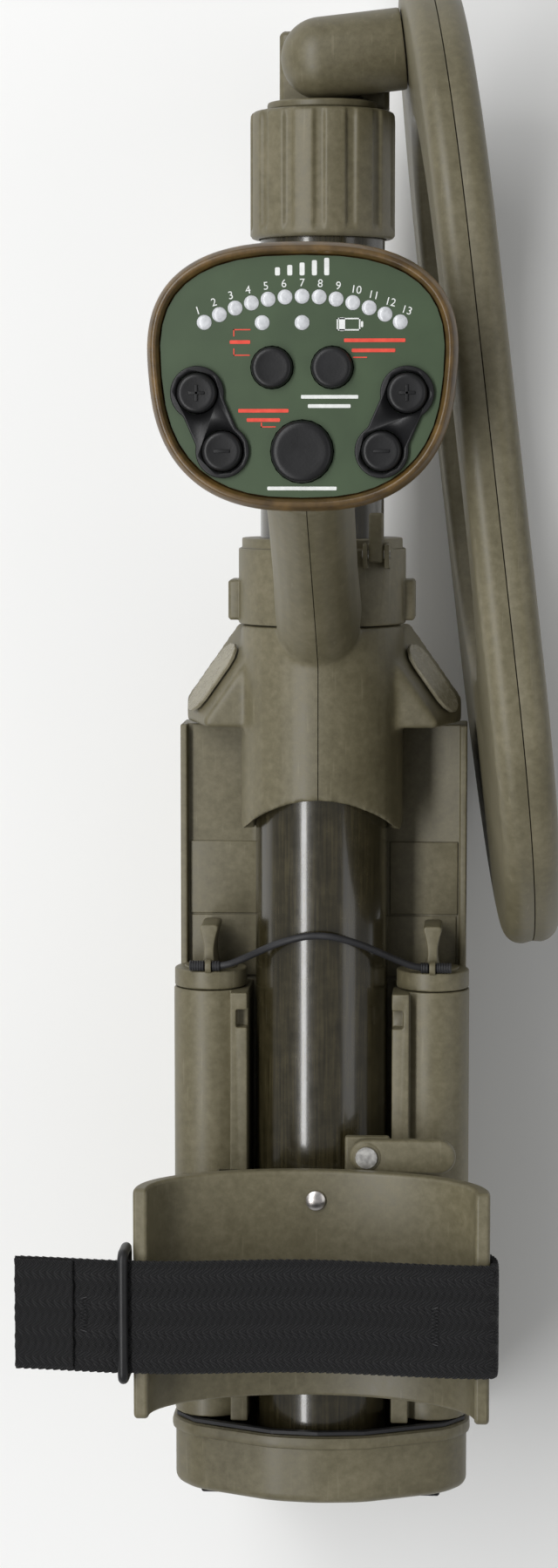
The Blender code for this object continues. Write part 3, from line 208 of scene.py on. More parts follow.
def smooth_route(points, per_span):
    """A Catmull-Rom curve through the points."""
    line = [Vector(p) for p in points]
    ends = [line[0] * 2 - line[1]] + line + [line[-1] * 2 - line[-2]]
    route = []
    for i in range(1, len(ends) - 2):
        a, b, c, d = ends[i - 1:i + 3]
        for k in range(per_span):
            t = k / per_span
            route.append(0.5 * (2 * b + (c - a) * t + (2 * a - 5 * b + 4 * c - d) * t ** 2
                                + (3 * b - a - 3 * c + d) * t ** 3))
    return route + [line[-1]]


def relief(tree, shader, height, strength, distance):
    """Raises the surface by a pattern, at most by distance in metres."""
    bump = add(tree, "Bump", inputs={"Height": height, "Strength": strength, "Distance": distance})
    tree.links.new(bump.outputs["Normal"], shader.inputs["Normal"])


def gloss(tree, shader, factor, shiny, matt):
    """Lets a pattern vary the roughness between two values."""
    spreading = add(tree, "MapRange", inputs={"Value": factor, "To Min": shiny, "To Max": matt})
    tree.links.new(spreading.outputs["Result"], shader.inputs["Roughness"])


def soft_rubber(name, dark, light, roughness, grain):
    """Moulded black rubber: a matt, faintly uneven skin that catches a broad weak light."""
    made, tree, shader = surface(name, roughness, Specular_IOR_Level=0.35)
    where = positions(tree)
    blotch = noise(tree, where, 9, 5.0)
    shade(tree, shader, blotch, (0.35, dark), (0.75, light))
    gloss(tree, shader, blotch, roughness - 0.08, roughness + 0.1)
    pits = noise(tree, where, grain, 3.0)
    relief(tree, shader, pits, 0.35, 0.00006)
    return made


black_rubber = soft_rubber("moulded_black_rubber", "222224", "2f2f31", 0.50, 0.5)


def drawn_wire(name, places, radius, material, body, resolution=6, closed=False):
    """A round wire, cord or thread along a route, hung on its body."""
    curve = bpy.data.curves.new(name, "CURVE")
    curve.dimensions = "3D"
    curve.bevel_depth = radius
    curve.bevel_resolution = resolution
    curve.use_fill_caps = not closed
    spline = curve.splines.new("POLY")
    spline.points.add(len(places) - 1)
    spline.use_cyclic_u = closed
    for point, place in zip(spline.points, places):
        point.co = (*place, 1)
    curve.materials.append(material)
    wire = linked(name, curve)
    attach(wire, body)
    return wire


route = smooth_route(TETHER_POINTS, 8)
tether = drawn_wire("cap_tether_cord", route, TETHER_RADIUS, black_rubber, "housing")
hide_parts("cap_tether")


def rounded(points, radius, steps=4, closed=True):
    """Rounds the corners of an outline with short curves."""
    count = len(points)
    line = []
    for i, point in enumerate(points):
        here = Vector(point)
        if not closed and i in (0, count - 1):
            line.append(here)
            continue
        before = Vector(points[i - 1]) - here
        after = Vector(points[(i + 1) % count]) - here
        reach = min(radius, before.length * 0.45, after.length * 0.45)
        start = here + before.normalized() * reach
        end = here + after.normalized() * reach
        for k in range(steps + 1):
            t = k / steps
            line.append(start * (1 - t) ** 2 + here * 2 * t * (1 - t) + end * t ** 2)
    return line


def finish_piece(bm, name, material, body, replaced=(), angle=35):
    """Makes a mesh object from a bmesh, shades it, and hangs it on its body."""
    mesh = bpy.data.meshes.new(name)
    bm.to_mesh(mesh)
    bm.free()
    mesh.shade_smooth()
    mesh.set_sharp_from_angle(angle=math.radians(angle))
    mesh.materials.append(material)
    piece = linked(name, mesh)
    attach(piece, body)
    if replaced:
        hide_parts(*replaced)
    return piece


def pour(shape, bm):
    """Empties one bmesh into another."""
    joined = bpy.data.meshes.new("shape")
    shape.to_mesh(joined)
    shape.free()
    bm.from_mesh(joined)
    bpy.data.meshes.remove(joined)


def turned(bm, profile, place, steps=96, ring=False):
    """Spins a (radius, height) outline about the Z axis of its place and adds it to bm."""
    shape = bmesh.new()
    verts = [shape.verts.new((point[0], 0, point[1])) for point in profile]
    pairs = list(zip(verts, verts[1:])) + ([(verts[-1], verts[0])] if ring else [])
    edges = [shape.edges.new(pair) for pair in pairs]
    bmesh.ops.spin(shape, geom=verts + edges, cent=(0, 0, 0), axis=(0, 0, 1), angle=math.tau,
                   steps=steps, use_merge=True)
    bmesh.ops.remove_doubles(shape, verts=shape.verts, dist=WELD_DISTANCE)
    bmesh.ops.recalc_face_normals(shape, faces=shape.faces)
    bmesh.ops.transform(shape, matrix=place, verts=shape.verts)
    pour(shape, bm)


ALONG_X = Matrix.Rotation(math.radians(90), 4, "Y")
FERRULE_RADIUS = 0.0017
FERRULE_SPANS = ((0.0297, 0.0321), (0.0344, 0.0388))
RIPPLE_PITCH = 0.0008
RIPPLE_DEPTH = 0.00035
for side, sign in BOTH_SIDES:
    bm = bmesh.new()
    for start, end in FERRULE_SPANS:
        count = round((end - start) / RIPPLE_PITCH)
        profile = [(TETHER_RADIUS, start)]
        for i in range(count * 2 + 1):
            ripple = FERRULE_RADIUS if i % 2 else FERRULE_RADIUS - RIPPLE_DEPTH
            profile.append((ripple, start + (end - start) * i / (count * 2)))
        profile.append((TETHER_RADIUS, end))
        place = Matrix.Translation((0, LUG_Y + 0.0002, STEM_HEIGHT + LUG_RISE)) @ ALONG_X
        turned(bm, [(r, sign * h) for r, h in rounded(profile, 0.0003)], place, 24, ring=True)
    finish_piece(bm, f"tether_ferrules_{side}", black_rubber, "housing")

# ---------------------------------------------------------------- stem
# Four tubes slide inside one another. They are filament-wound glass fibre in a dark olive resin:
# wet-looking and glossy, with fine fibres along the tube and cloudy patches under the clear skin.


def wound_tube(name, dark, middle, light):
    """Resin over lengthwise fibres: gloss on top, streaks and cloudy patches below."""
    made, tree, shader = surface(name, 0.20, Coat_Weight=0.55, Coat_Roughness=0.10)
    where = positions(tree)
    drawn = add(tree, "Mapping", inputs={"Vector": where, "Scale": (1.0, 0.035, 1.0)}).outputs["Vector"]
    fibre = noise(tree, drawn, 0.7, 4.0)
    cloud = noise(tree, where, 7, 6.0, Roughness=0.65)
    both = add(tree, "Mix", inputs={"Factor": 0.45, "A": fibre, "B": cloud}).outputs["Result"]
    shade(tree, shader, both, (0.38, dark), (0.52, middle), (0.68, light))
    gloss(tree, shader, cloud, 0.14, 0.34)
    relief(tree, shader, both, 0.25, 0.00005)
    return made


wound_resin = wound_tube("filament_wound_resin", "211d0f", "302b1b", "403a26")
ALONG_STEM = Matrix.Translation((0, 0, STEM_HEIGHT)) @ Matrix.Rotation(math.radians(-90), 4, "X")


def sleeve(bm, outer, inner, rear, front, place, steps, ease=0.0004):
    """A ring or tube of plain walls with eased ends."""
    outline = [(outer, rear), (inner, rear), (inner, front), (outer, front)]
    turned(bm, rounded(outline, ease), place, steps, ring=True)


def tube(node, body, wall):
    """A glossy tube with eased ends, in the place of its plain one."""
    low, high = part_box(node)
    outer = (high[0] - low[0]) / 2
    bm = bmesh.new()
    sleeve(bm, outer, outer - wall, low[1], high[1], ALONG_STEM, 128)
    return finish_piece(bm, node.replace("stem_", "wound_"), wound_resin, body, [node])


OUTER_WALL = 0.0011
STAGE_WALL = 0.0014
tube("stem_outer_tube", "housing", OUTER_WALL)
for stage in (1, 2, 3):
    tube(f"stem_stage_{stage}", f"stage_{stage}", STAGE_WALL)

# ---------------------------------------------------------------- lock knob and collet
# A twist of the knob squeezes a rubber collet onto the inner tubes. The knob is moulded in glass
# filled nylon, with broad finger flutes, a plain front lip and a turned collar behind it.


def filled_nylon(name, dark, middle, light, roughness=0.46):
    """Glass-filled nylon from a spark-eroded tool: satin, mottled where the glass comes up, rubbed paler."""
    made, tree, shader = surface(name, roughness, Specular_IOR_Level=0.5)
    where = positions(tree)
    mottle = noise(tree, where, 2.6, 8.0, Roughness=0.72)
    flow = noise(tree, where, 38, 3.0, Distortion=0.8)
    both = add(tree, "Mix", inputs={"Factor": 0.42, "A": mottle, "B": flow}).outputs["Result"]
    colour = spread(tree, both, (0.34, dark), (0.5, middle), (0.66, light))
    drawn = add(tree, "Mapping", inputs={"Vector": where, "Rotation": (0.3, 0.9, 0.5),
                                         "Scale": (1.0, 0.06, 0.4)}).outputs["Vector"]
    rub = noise(tree, drawn, 1.1, 2.0)
    mark = add(tree, "MapRange", inputs={"Value": rub, "From Min": 0.66, "From Max": 0.74,
                                         "To Max": 0.22}).outputs["Result"]
    worn = add(tree, "Mix", {"data_type": "RGBA"}, {"Factor": mark, "A": colour, "B": linear("8a836d")})
    tree.links.new(worn.outputs[2], shader.inputs["Base Color"])
    satin = add(tree, "MapRange", inputs={"Value": both, "From Min": 0.3, "From Max": 0.7,
                                          "To Min": roughness - 0.10, "To Max": roughness + 0.12})
    tree.links.new(satin.outputs["Result"], shader.inputs["Roughness"])
    spark = noise(tree, where, 0.55, 3.0)
    fine = add(tree, "Bump", inputs={"Height": spark, "Strength": 0.30, "Distance": 0.00005})
    sink = add(tree, "Bump", inputs={"Height": flow, "Strength": 0.22, "Distance": 0.0005,
                                     "Normal": fine.outputs["Normal"]})
    tree.links.new(sink.outputs["Normal"], shader.inputs["Normal"])
    return made


olive_nylon = filled_nylon("glass_filled_olive_nylon", "58523e", "66604a", "756e58")

KNOB_FLUTES = 14
FLUTE_DEPTH = 0.0011
FLUTE_EDGE = 9             # how sharply a flute starts; higher is sharper
FLUTE_SHARE = 0.55         # how much of the rim stays between the flutes; higher is more
KNOB_LIP = 0.0095
KNOB_SIDES = 336
COLLET_WALL = 0.0016
RUNNING_GAP = 0.0003


def ring_of(bm, place, radius_at, height, count):
    """A closed loop of points round a local Z axis, radius_at giving its radius at each angle."""
    made = bmesh.ops.create_circle(bm, segments=count, radius=1.0)["verts"]
    for vert in made:
        angle = math.atan2(vert.co.y, vert.co.x)
        radius = radius_at(angle)
        vert.co = place @ Vector((radius * math.cos(angle), radius * math.sin(angle), height))
    return made


def stack(bm, rings):
    """Skins a list of matching loops in order, as a loft does."""
    for one, other in zip(rings, rings[1:]):
        for index in range(len(one)):
            bm.faces.new((one[index - 1], one[index], other[index], other[index - 1]))


def band(bm, rings):
    """Skins loops into a closed band and turns its faces outwards."""
    stack(bm, rings + [rings[0]])
    bmesh.ops.recalc_face_normals(bm, faces=bm.faces)


low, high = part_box("lock_knob")
knob_radius = (high[0] - low[0]) / 2
collet_low, collet_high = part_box("lock_collet")
collet_radius = (collet_high[0] - collet_low[0]) / 2
lip_bore = collet_radius - COLLET_WALL


def flute(depth, drop):
    """Radius round the knob, with soft flutes of this depth and its edge eased by drop."""
    def radius_at(angle):
        wave = math.cos(angle * KNOB_FLUTES)
        groove = 1 / (1 + math.exp(FLUTE_EDGE * (wave + FLUTE_SHARE)))
        return knob_radius - depth * groove + drop
    return radius_at


bm = bmesh.new()
front, rear = high[1], low[1]
profile = [(rear, -0.0012, 0.0), (rear + 0.0003, -0.0005, 0.0), (rear + 0.0010, 0.0, 0.0),
           (rear + 0.0022, 0.0, 0.0), (rear + 0.0040, 0.0, 1.0), (front - 0.0030, 0.0, 1.0),
           (front - 0.0012, -0.0001, 0.6), (front - 0.0004, -0.0005, 0.3), (front, -0.0013, 0.0)]
rings = [ring_of(bm, ALONG_STEM, flute(FLUTE_DEPTH * share, drop), y, KNOB_SIDES)
         for y, drop, share in profile]
knob_bore = collet_radius + RUNNING_GAP
inner = [(front, lip_bore), (front - KNOB_LIP, lip_bore), (front - KNOB_LIP, knob_bore), (rear, knob_bore)]
rings += [ring_of(bm, ALONG_STEM, lambda angle, r=radius: r, y, KNOB_SIDES) for y, radius in inner]
band(bm, rings)
finish_piece(bm, "fluted_lock_knob", olive_nylon, "knob", ["lock_knob"], 50)

bm = bmesh.new()
sleeve(bm, collet_radius, lip_bore, collet_low[1], collet_high[1], ALONG_STEM, 96)
finish_piece(bm, "collet_sleeve", black_rubber, "stage_1", ["lock_collet"])

# ---------------------------------------------------------------- elbow
# A round-ended arm turns on a steel pin in the fitting at the end of the innermost tube. Both are
# moulded nylon; the fitting is a plain block with eased corners and a plug inside the tube.

PACKED_WELD = 0.000003


def ease_edges(piece, name, angle, width, segments):
    """Rounds every edge of a piece that turns by more than an angle in degrees."""
    easing = piece.modifiers.new(name, "BEVEL")
    easing.limit_method = "ANGLE"
    easing.angle_limit = math.radians(angle)
    easing.width = width
    easing.segments = segments
    easing.use_clamp_overlap = False
    easing.harden_normals = True
    return easing


def eased(node, name, material, body, width):
    """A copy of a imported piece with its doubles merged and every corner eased."""
    bm = bmesh.new()
    bm.from_mesh(nodes[node].data)
    bmesh.ops.remove_doubles(bm, verts=bm.verts, dist=PACKED_WELD)
    bmesh.ops.dissolve_limit(bm, angle_limit=math.radians(0.6), verts=bm.verts, edges=bm.edges)
    piece = finish_piece(bm, name, material, body, [node])
    ease_edges(piece, "eased_corners", 34, width, 3).miter_outer = "MITER_ARC"
    return piece


ARM_Y = 0.3085
ARM_RISE = 0.0080
HEAD_YAW = math.radians(6.6)
HEAD_LEAN = math.radians(3.0)
HEAD_FRAME = (Matrix.Translation((0, ARM_Y, STEM_HEIGHT + ARM_RISE)) @ Matrix.Rotation(HEAD_YAW, 4, "Z")
              @ Matrix.Rotation(HEAD_LEAN, 4, "Y"))
ARM_FRAME = HEAD_FRAME @ Matrix.Rotation(math.radians(90), 4, "Y")
ARM_RADIUS = 0.0117
ARM_LENGTH = 0.0237
BOLT_BORE = 0.0043
BOLT_START = 0.0095
eased("stem_end_fitting", "tube_end_fitting", olive_nylon, "stage_3", 0.0007)

bm = bmesh.new()
dome = [(ARM_RADIUS * math.sin(math.pi / 2 * i / 24), -ARM_RADIUS * math.cos(math.pi / 2 * i / 24))
        for i in range(25)]
arm = dome + [(ARM_RADIUS, ARM_LENGTH - 0.0008), (ARM_RADIUS - 0.0002, ARM_LENGTH - 0.0002),
              (ARM_RADIUS - 0.0008, ARM_LENGTH), (BOLT_BORE, ARM_LENGTH), (BOLT_BORE, BOLT_START),
              (0, BOLT_START)]
turned(bm, arm, ARM_FRAME, 96)
finish_piece(bm, "round_ended_elbow_arm", olive_nylon, "elbow", ["elbow_arm"])

# ---------------------------------------------------------------- search head
# The search head is a flat racetrack ring of two moulded shells, glued along a seam at half
# thickness. The windings lie in channels inside, and one bolt holds it to the elbow.

HEAD_FACE = 0.0240
HEAD_THICKNESS = 0.0160
HEAD_FRONT = 0.0190
HEAD_REAR = -0.2620
HEAD_RADIUS = 0.0840
WINDOW_FRONT = -0.0210
WINDOW_REAR = -0.1830
WINDOW_RADIUS = 0.0540
SEAM = HEAD_FACE + HEAD_THICKNESS / 2
SEAM_GAP = 0.0003
WINDOW_EDGE = 0.0022


def racetrack(bm, depth, front, rear, radius, inwards, sides=80):
    """A racetrack loop in the head's own frame at one depth, drawn in by inwards."""
    reach = radius - inwards
    middle_front, middle_rear = front - radius, rear + radius
    made = bmesh.ops.create_circle(bm, segments=sides * 2, radius=reach)["verts"]
    for vert in made:
        y, z = vert.co.y, vert.co.x
        shift = middle_front if y > 0 else middle_rear
        vert.co = HEAD_FRAME @ Vector((depth, y + shift, z))
    return made


def head_shell(node, name, face, seam, crown):
    """One half of the head: a full rounded rim, a crowned face and a rounded window edge."""
    bm = bmesh.new()
    turn = 1 if seam > face else -1
    reach = HEAD_THICKNESS / 2 - 0.0002
    rings = [racetrack(bm, seam, HEAD_FRONT, HEAD_REAR, HEAD_RADIUS, 0.0004)]
    for i in range(9):
        angle = math.pi / 2 * i / 8
        depth = seam - turn * (reach - crown + crown * math.sin(angle))
        rings.append(racetrack(bm, depth, HEAD_FRONT, HEAD_REAR, HEAD_RADIUS, crown * (1 - math.cos(angle))))
    for i in range(7):
        angle = math.pi / 2 * (1 - i / 6)
        depth = seam - turn * (reach - WINDOW_EDGE + WINDOW_EDGE * math.sin(angle))
        outwards = WINDOW_EDGE * (1 - math.cos(angle))
        rings.append(racetrack(bm, depth, WINDOW_FRONT, WINDOW_REAR, WINDOW_RADIUS, -outwards))
    rings.append(racetrack(bm, seam, WINDOW_FRONT, WINDOW_REAR, WINDOW_RADIUS, 0.0))
    band(bm, rings)
    return finish_piece(bm, name, olive_nylon, "search_head", [node], 40)


HEAD_BACK = HEAD_FACE + HEAD_THICKNESS
FRONT_CROWN = 0.0052
BACK_CROWN = 0.0056
head_shell("head_upper_shell", "search_head_front_shell", HEAD_FACE, SEAM - SEAM_GAP / 2, FRONT_CROWN)
head_shell("head_lower_shell", "search_head_back_shell", HEAD_BACK, SEAM + SEAM_GAP / 2, BACK_CROWN)

# Steel dowels and bolts: the elbow pin, the swivel bolt, the latch pin and the lever pin are turned
# bright steel, zinc plated, so they keep fine rings from the lathe under a cool satin shine.


def plated_steel(name, dark, light):
    """Zinc plate over turned steel: bright, slightly blue, with cloudy handling marks."""
    made, tree, shader = surface(name, 0.30, 1.0)
    where = positions(tree)
    cloud = noise(tree, where, 1.8, 5.0)
    shade(tree, shader, cloud, (0.3, dark), (0.7, light))
    gloss(tree, shader, cloud, 0.22, 0.42)
    rings = noise(tree, where, 0.35, 2.0)
    relief(tree, shader, rings, 0.2, 0.00002)
    return made


zinc_steel = plated_steel("zinc_plated_steel", "a9a7a3", "dcdad5")


def repaint(name, material):
    """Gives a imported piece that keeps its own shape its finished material."""
    for index in range(len(nodes[name].data.materials)):
        nodes[name].data.materials[index] = material


for name in ("elbow_pin", "swivel_bolt", "latch_pin", "lever_pin",
             "left_contact_spring", "right_contact_spring"):
    repaint(name, zinc_steel)


def clouded(name, roughness, size, detail, dark, light, strength, distance, metallic=0.0, **sockets):
    """A material that one cloudy pattern both colours and raises."""
    made, tree, shader = surface(name, roughness, metallic, **sockets)
    pattern = noise(tree, positions(tree), size, detail)
    shade(tree, shader, pattern, dark, light)
    relief(tree, shader, pattern, strength, distance)
    return made


# Enamelled copper wire is laid up in bundles: warm, glossy, and lined along the bundle.
enamel_copper = clouded("enamelled_copper_wire", 0.28, 0.6, 2.0, (0.35, "8a4c22"), (0.65, "c07a3c"),
                        0.5, 0.00008, 1.0)
repaint("transmit_winding", enamel_copper)
repaint("receive_winding", enamel_copper)

# ---------------------------------------------------------------- housing
# A deep tub holds the electronics. Its lid carries the two battery tubes, the rails that the cuff
# slides on and the trough of the stem. Both are moulded nylon, with eased edges and a seam between.

eased("housing_lower", "electronics_tub", olive_nylon, "housing", 0.0009)
eased("housing_upper", "housing_lid", olive_nylon, "housing", 0.0005)

# Two low steps cross the deck on each side of the stem, where the lid thickens over the bosses below.
DECK_DROP = 0.0120
DECK = STEM_HEIGHT - DECK_DROP
STEP_HEIGHT = 0.0006
STEP_SPANS = ((0.0375, 0.0560, 0.0190, 0.0400), (0.0565, 0.0785, 0.0200, 0.0404))
for side, sign in BOTH_SIDES:
    bm = bmesh.new()
    for rear, front, inner, outer in STEP_SPANS:
        made = bmesh.ops.create_cube(bm, size=1.0)["verts"]
        bmesh.ops.scale(bm, vec=(outer - inner, front - rear, STEP_HEIGHT * 2), verts=made)
        place = (sign * (inner + outer) / 2, (rear + front) / 2, DECK)
        bmesh.ops.translate(bm, vec=place, verts=made)
    bmesh.ops.bevel(bm, geom=bm.edges[:], offset=0.0003, segments=3, profile=0.5, affect="EDGES", material=-1)
    finish_piece(bm, f"deck_steps_{side}", olive_nylon, "housing")

# ---------------------------------------------------------------- rear cover
# The rear cover is a deep cap over the back of the housing, pressed on over a rubber gasket. Its
# outline rises to a low ridge over the stem, and a rubber bumper is let in across its back.

COVER_FRONT = -0.0951
COVER_REAR = -0.1160
COVER_WALL = 0.0025
COVER_CORNER = 0.0045
COVER_EDGE = 0.0032
COVER_HALF = [(0.0380, 0), (0.0430, 0.0515), (0.0440, STEM_HEIGHT - 0.0030), (0.0440, STEM_HEIGHT + 0.0040),
              (0.0380, STEM_HEIGHT + 0.0120), (0.0140, STEM_HEIGHT + 0.0225)]


def points_of(geometry):
    """The vertices among what a bmesh step gives back."""
    return [item for item in geometry if isinstance(item, bmesh.types.BMVert)]


outline = COVER_HALF + [(0, STEM_HEIGHT + 0.0240)] + [(-x, z) for x, z in COVER_HALF[::-1]]
bm = bmesh.new()
rim = [bm.verts.new((point.x, COVER_FRONT, point.y)) for point in rounded(outline, COVER_CORNER, 6)]
mouth = bm.faces.new(rim)
body = bmesh.ops.extrude_face_region(bm, geom=[mouth], use_keep_orig=True)["geom"]
back = [item for item in body if isinstance(item, bmesh.types.BMFace)][0]
bmesh.ops.translate(bm, vec=(0, COVER_REAR - COVER_FRONT, 0), verts=list(back.verts))
bmesh.ops.recalc_face_normals(bm, faces=bm.faces)
bmesh.ops.bevel(bm, geom=list(back.edges), offset=COVER_EDGE, segments=6, profile=0.5,
                affect="EDGES", material=-1)
flat_faces = [face for face in bm.faces if abs(face.normal.y) > 0.99]
mouth = max(flat_faces, key=lambda face: face.calc_center_median().y)
bmesh.ops.inset_region(bm, faces=[mouth], thickness=COVER_WALL, use_even_offset=True)
hollow = bmesh.ops.extrude_face_region(bm, geom=[mouth])["geom"]
bmesh.ops.translate(bm, vec=(0, COVER_REAR + COVER_WALL - COVER_FRONT, 0), verts=points_of(hollow))
bmesh.ops.delete(bm, geom=[mouth], context="FACES")
bmesh.ops.recalc_face_normals(bm, faces=bm.faces)
finish_piece(bm, "deep_rear_cover", olive_nylon, "housing", ["rear_cover"])

# A raised bead runs round the mouth of the cover, where it is gripped to pull it off.
bm = bmesh.new()
bead = []
for offset, y in ((0.0001, -0.0990), (0.0008, -0.0986), (0.0010, -0.0978),
                  (0.0010, -0.0966), (0.0007, -0.0955), (0.0001, -0.0952)):
    grown = [(x + math.copysign(offset, x) if abs(x) > 0.0300 else x, z + (offset if z > 0.0900 else 0))
             for x, z in outline]
    loop = [bm.verts.new((p.x, y, max(p.y, cad_low.z))) for p in rounded(grown, COVER_CORNER, 6)]
    bead.append(loop)
inside = []
for y in (-0.0952, -0.0990):
    shrunk = [(x * 0.985, 0.0400 + (z - 0.0400) * 0.985) for x, z in outline]
    loop = [bm.verts.new((p.x, y, p.y)) for p in rounded(shrunk, COVER_CORNER, 6)]
    inside.append(loop)
band(bm, bead + inside)
finish_piece(bm, "rear_cover_bead", olive_nylon, "housing")

repaint("rear_gasket", black_rubber)
eased("rear_bumper", "ribbed_rear_bumper", black_rubber, "housing", 0.0005)
for name in ("left_cap_o_ring", "right_cap_o_ring", "speaker"):
    repaint(name, black_rubber)

# The circuit boards are glass-epoxy laminate under green solder mask: a thin gloss over a fine weave.
solder_mask, tree, shader = surface("solder_masked_glass_epoxy", 0.35, Coat_Weight=0.4, Coat_Roughness=0.15)
where = positions(tree)
weave = add(tree, "TexWave", inputs={"Vector": where, "Scale": per_mm(1.2) / 6.28}).outputs["Fac"]
shade(tree, shader, weave, (0.2, "244c2c"), (0.8, "356a3f"))
relief(tree, shader, weave, 0.15, 0.00004)
for name in ("main_board", "display_board"):
    repaint(name, solder_mask)

# The cells wear a shrunk printed sleeve: smooth and a little waxy, brass-coloured, scuffed paler.
cell_sleeve = clouded("shrink_sleeved_cell", 0.32, 5, 5.0, (0.35, "a87d34"), (0.7, "c9a04e"),
                      0.15, 0.00005, 0.4)
for side in ("left", "right"):
    for place in ("front", "rear"):
        repaint(f"{side}_cell_{place}", cell_sleeve)

# ---------------------------------------------------------------- battery caps
# Each cap is a round flange on a plug that turns in its tube a quarter turn. A flared wing stands
# out for the fingers, with a lug on top that the tether passes through.

CAP_REAR = 0.0365
CAP_FLANGE = 0.0055
CAP_RADIUS = 0.0108
PLUG_RADIUS = 0.0075
PLUG_LENGTH = 0.0065
GROOVE_FRONT = CAP_REAR - 0.0027
GROOVE_REAR = CAP_REAR - 0.0045
GROOVE_RADIUS = 0.0062
DISH_RADIUS = 0.0078
DISH_HOLE = 0.0040
LUG_RADIUS = 0.0021
WING_LENGTH = 0.0136
WING_HALF_HEIGHT = 0.0080


def plate(bm, outline, low, high, ease, axis="Z"):
    """Adds a flat plate: an outline drawn out between two heights, with its edges eased."""
    shape = bmesh.new()
    face = shape.faces.new([shape.verts.new((point[0], point[1], low)) for point in outline])
    made = bmesh.ops.extrude_face_region(shape, geom=[face], use_keep_orig=True)["geom"]
    bmesh.ops.translate(shape, vec=(0, 0, high - low), verts=points_of(made))
    bmesh.ops.recalc_face_normals(shape, faces=shape.faces)
    if ease:
        rims = [edge for edge in shape.edges if abs(edge.verts[0].co.z - edge.verts[1].co.z) < 1e-7]
        bmesh.ops.bevel(shape, geom=rims, offset=ease, segments=4, profile=0.5, affect="EDGES", material=-1)
    if axis == "X":
        upright = Matrix(((0, 0, 1), (1, 0, 0), (0, 1, 0))).to_4x4()
        bmesh.ops.transform(shape, matrix=upright, verts=shape.verts)
    pour(shape, bm)


for side, sign in BOTH_SIDES:
    low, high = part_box(f"{side}_battery_cap")
    centre = (low[0] + high[0]) / 2
    front = CAP_REAR + CAP_FLANGE
    place = Matrix.Translation((centre, 0, 0)) @ ALONG_STEM
    bm = bmesh.new()
    profile = [(0, front), (CAP_RADIUS, front), (CAP_RADIUS, CAP_REAR), (PLUG_RADIUS, CAP_REAR),
               (PLUG_RADIUS, GROOVE_FRONT), (GROOVE_RADIUS, GROOVE_FRONT), (GROOVE_RADIUS, GROOVE_REAR),
               (PLUG_RADIUS, GROOVE_REAR), (PLUG_RADIUS, CAP_REAR - PLUG_LENGTH), (0, CAP_REAR - PLUG_LENGTH)]
    turned(bm, rounded(profile, 0.0007, 4, closed=False), place, 96)
    sleeve(bm, DISH_RADIUS, DISH_HOLE, front - 0.0004, front + 0.0006, place, 64, 0.0003)
    half = [(0.0024, front - 0.0010), (0.0016, front + 0.0030), (0.0014, front + 0.0062),
            (0.0020, front + 0.0100), (0.0031, front + WING_LENGTH)]
    wing = [(centre + x, y) for x, y in half] + [(centre - x, y) for x, y in half[::-1]]
    wing_low, wing_high = STEM_HEIGHT - WING_HALF_HEIGHT, STEM_HEIGHT + WING_HALF_HEIGHT
    plate(bm, rounded(wing, 0.0018, 5), wing_low, wing_high, 0.0005)
    ring_place = Matrix.Translation((centre, LUG_Y, STEM_HEIGHT + LUG_RISE)) @ ALONG_X
    sleeve(bm, LUG_RADIUS, TETHER_RADIUS + 0.0002, -0.0009, 0.0009, ring_place, 48, 0.0003)
    foot, neck = STEM_HEIGHT + 0.0070, STEM_HEIGHT + LUG_RISE - 0.0012
    post = [(LUG_Y - 0.0018, foot), (LUG_Y + 0.0018, foot), (LUG_Y + 0.0015, neck), (LUG_Y - 0.0015, neck)]
    plate(bm, post, centre - 0.0008, centre + 0.0008, 0.0002, "X")
    finish_piece(bm, f"winged_battery_cap_{side}", olive_nylon, f"{side}_cap",
                 [f"{side}_battery_cap"])

# ---------------------------------------------------------------- handle
# The handle is moulded in two halves that close on the stem. A post leans forward from the collar
# to the pod; two shoulders brace the collar on the housing, each with an oval pad let into its slope.

HANDLE_SEAM = 0.00024
SEAM_OVERLAP = 0.0004
HANDLE_VOXEL = 0.0008
SMOOTH_PASSES = 5


def baked(item):
    """The mesh of an object with its modifiers, or its lettering, applied."""
    bpy.context.view_layer.update()
    return bpy.data.meshes.new_from_object(item.evaluated_get(bpy.context.evaluated_depsgraph_get()))


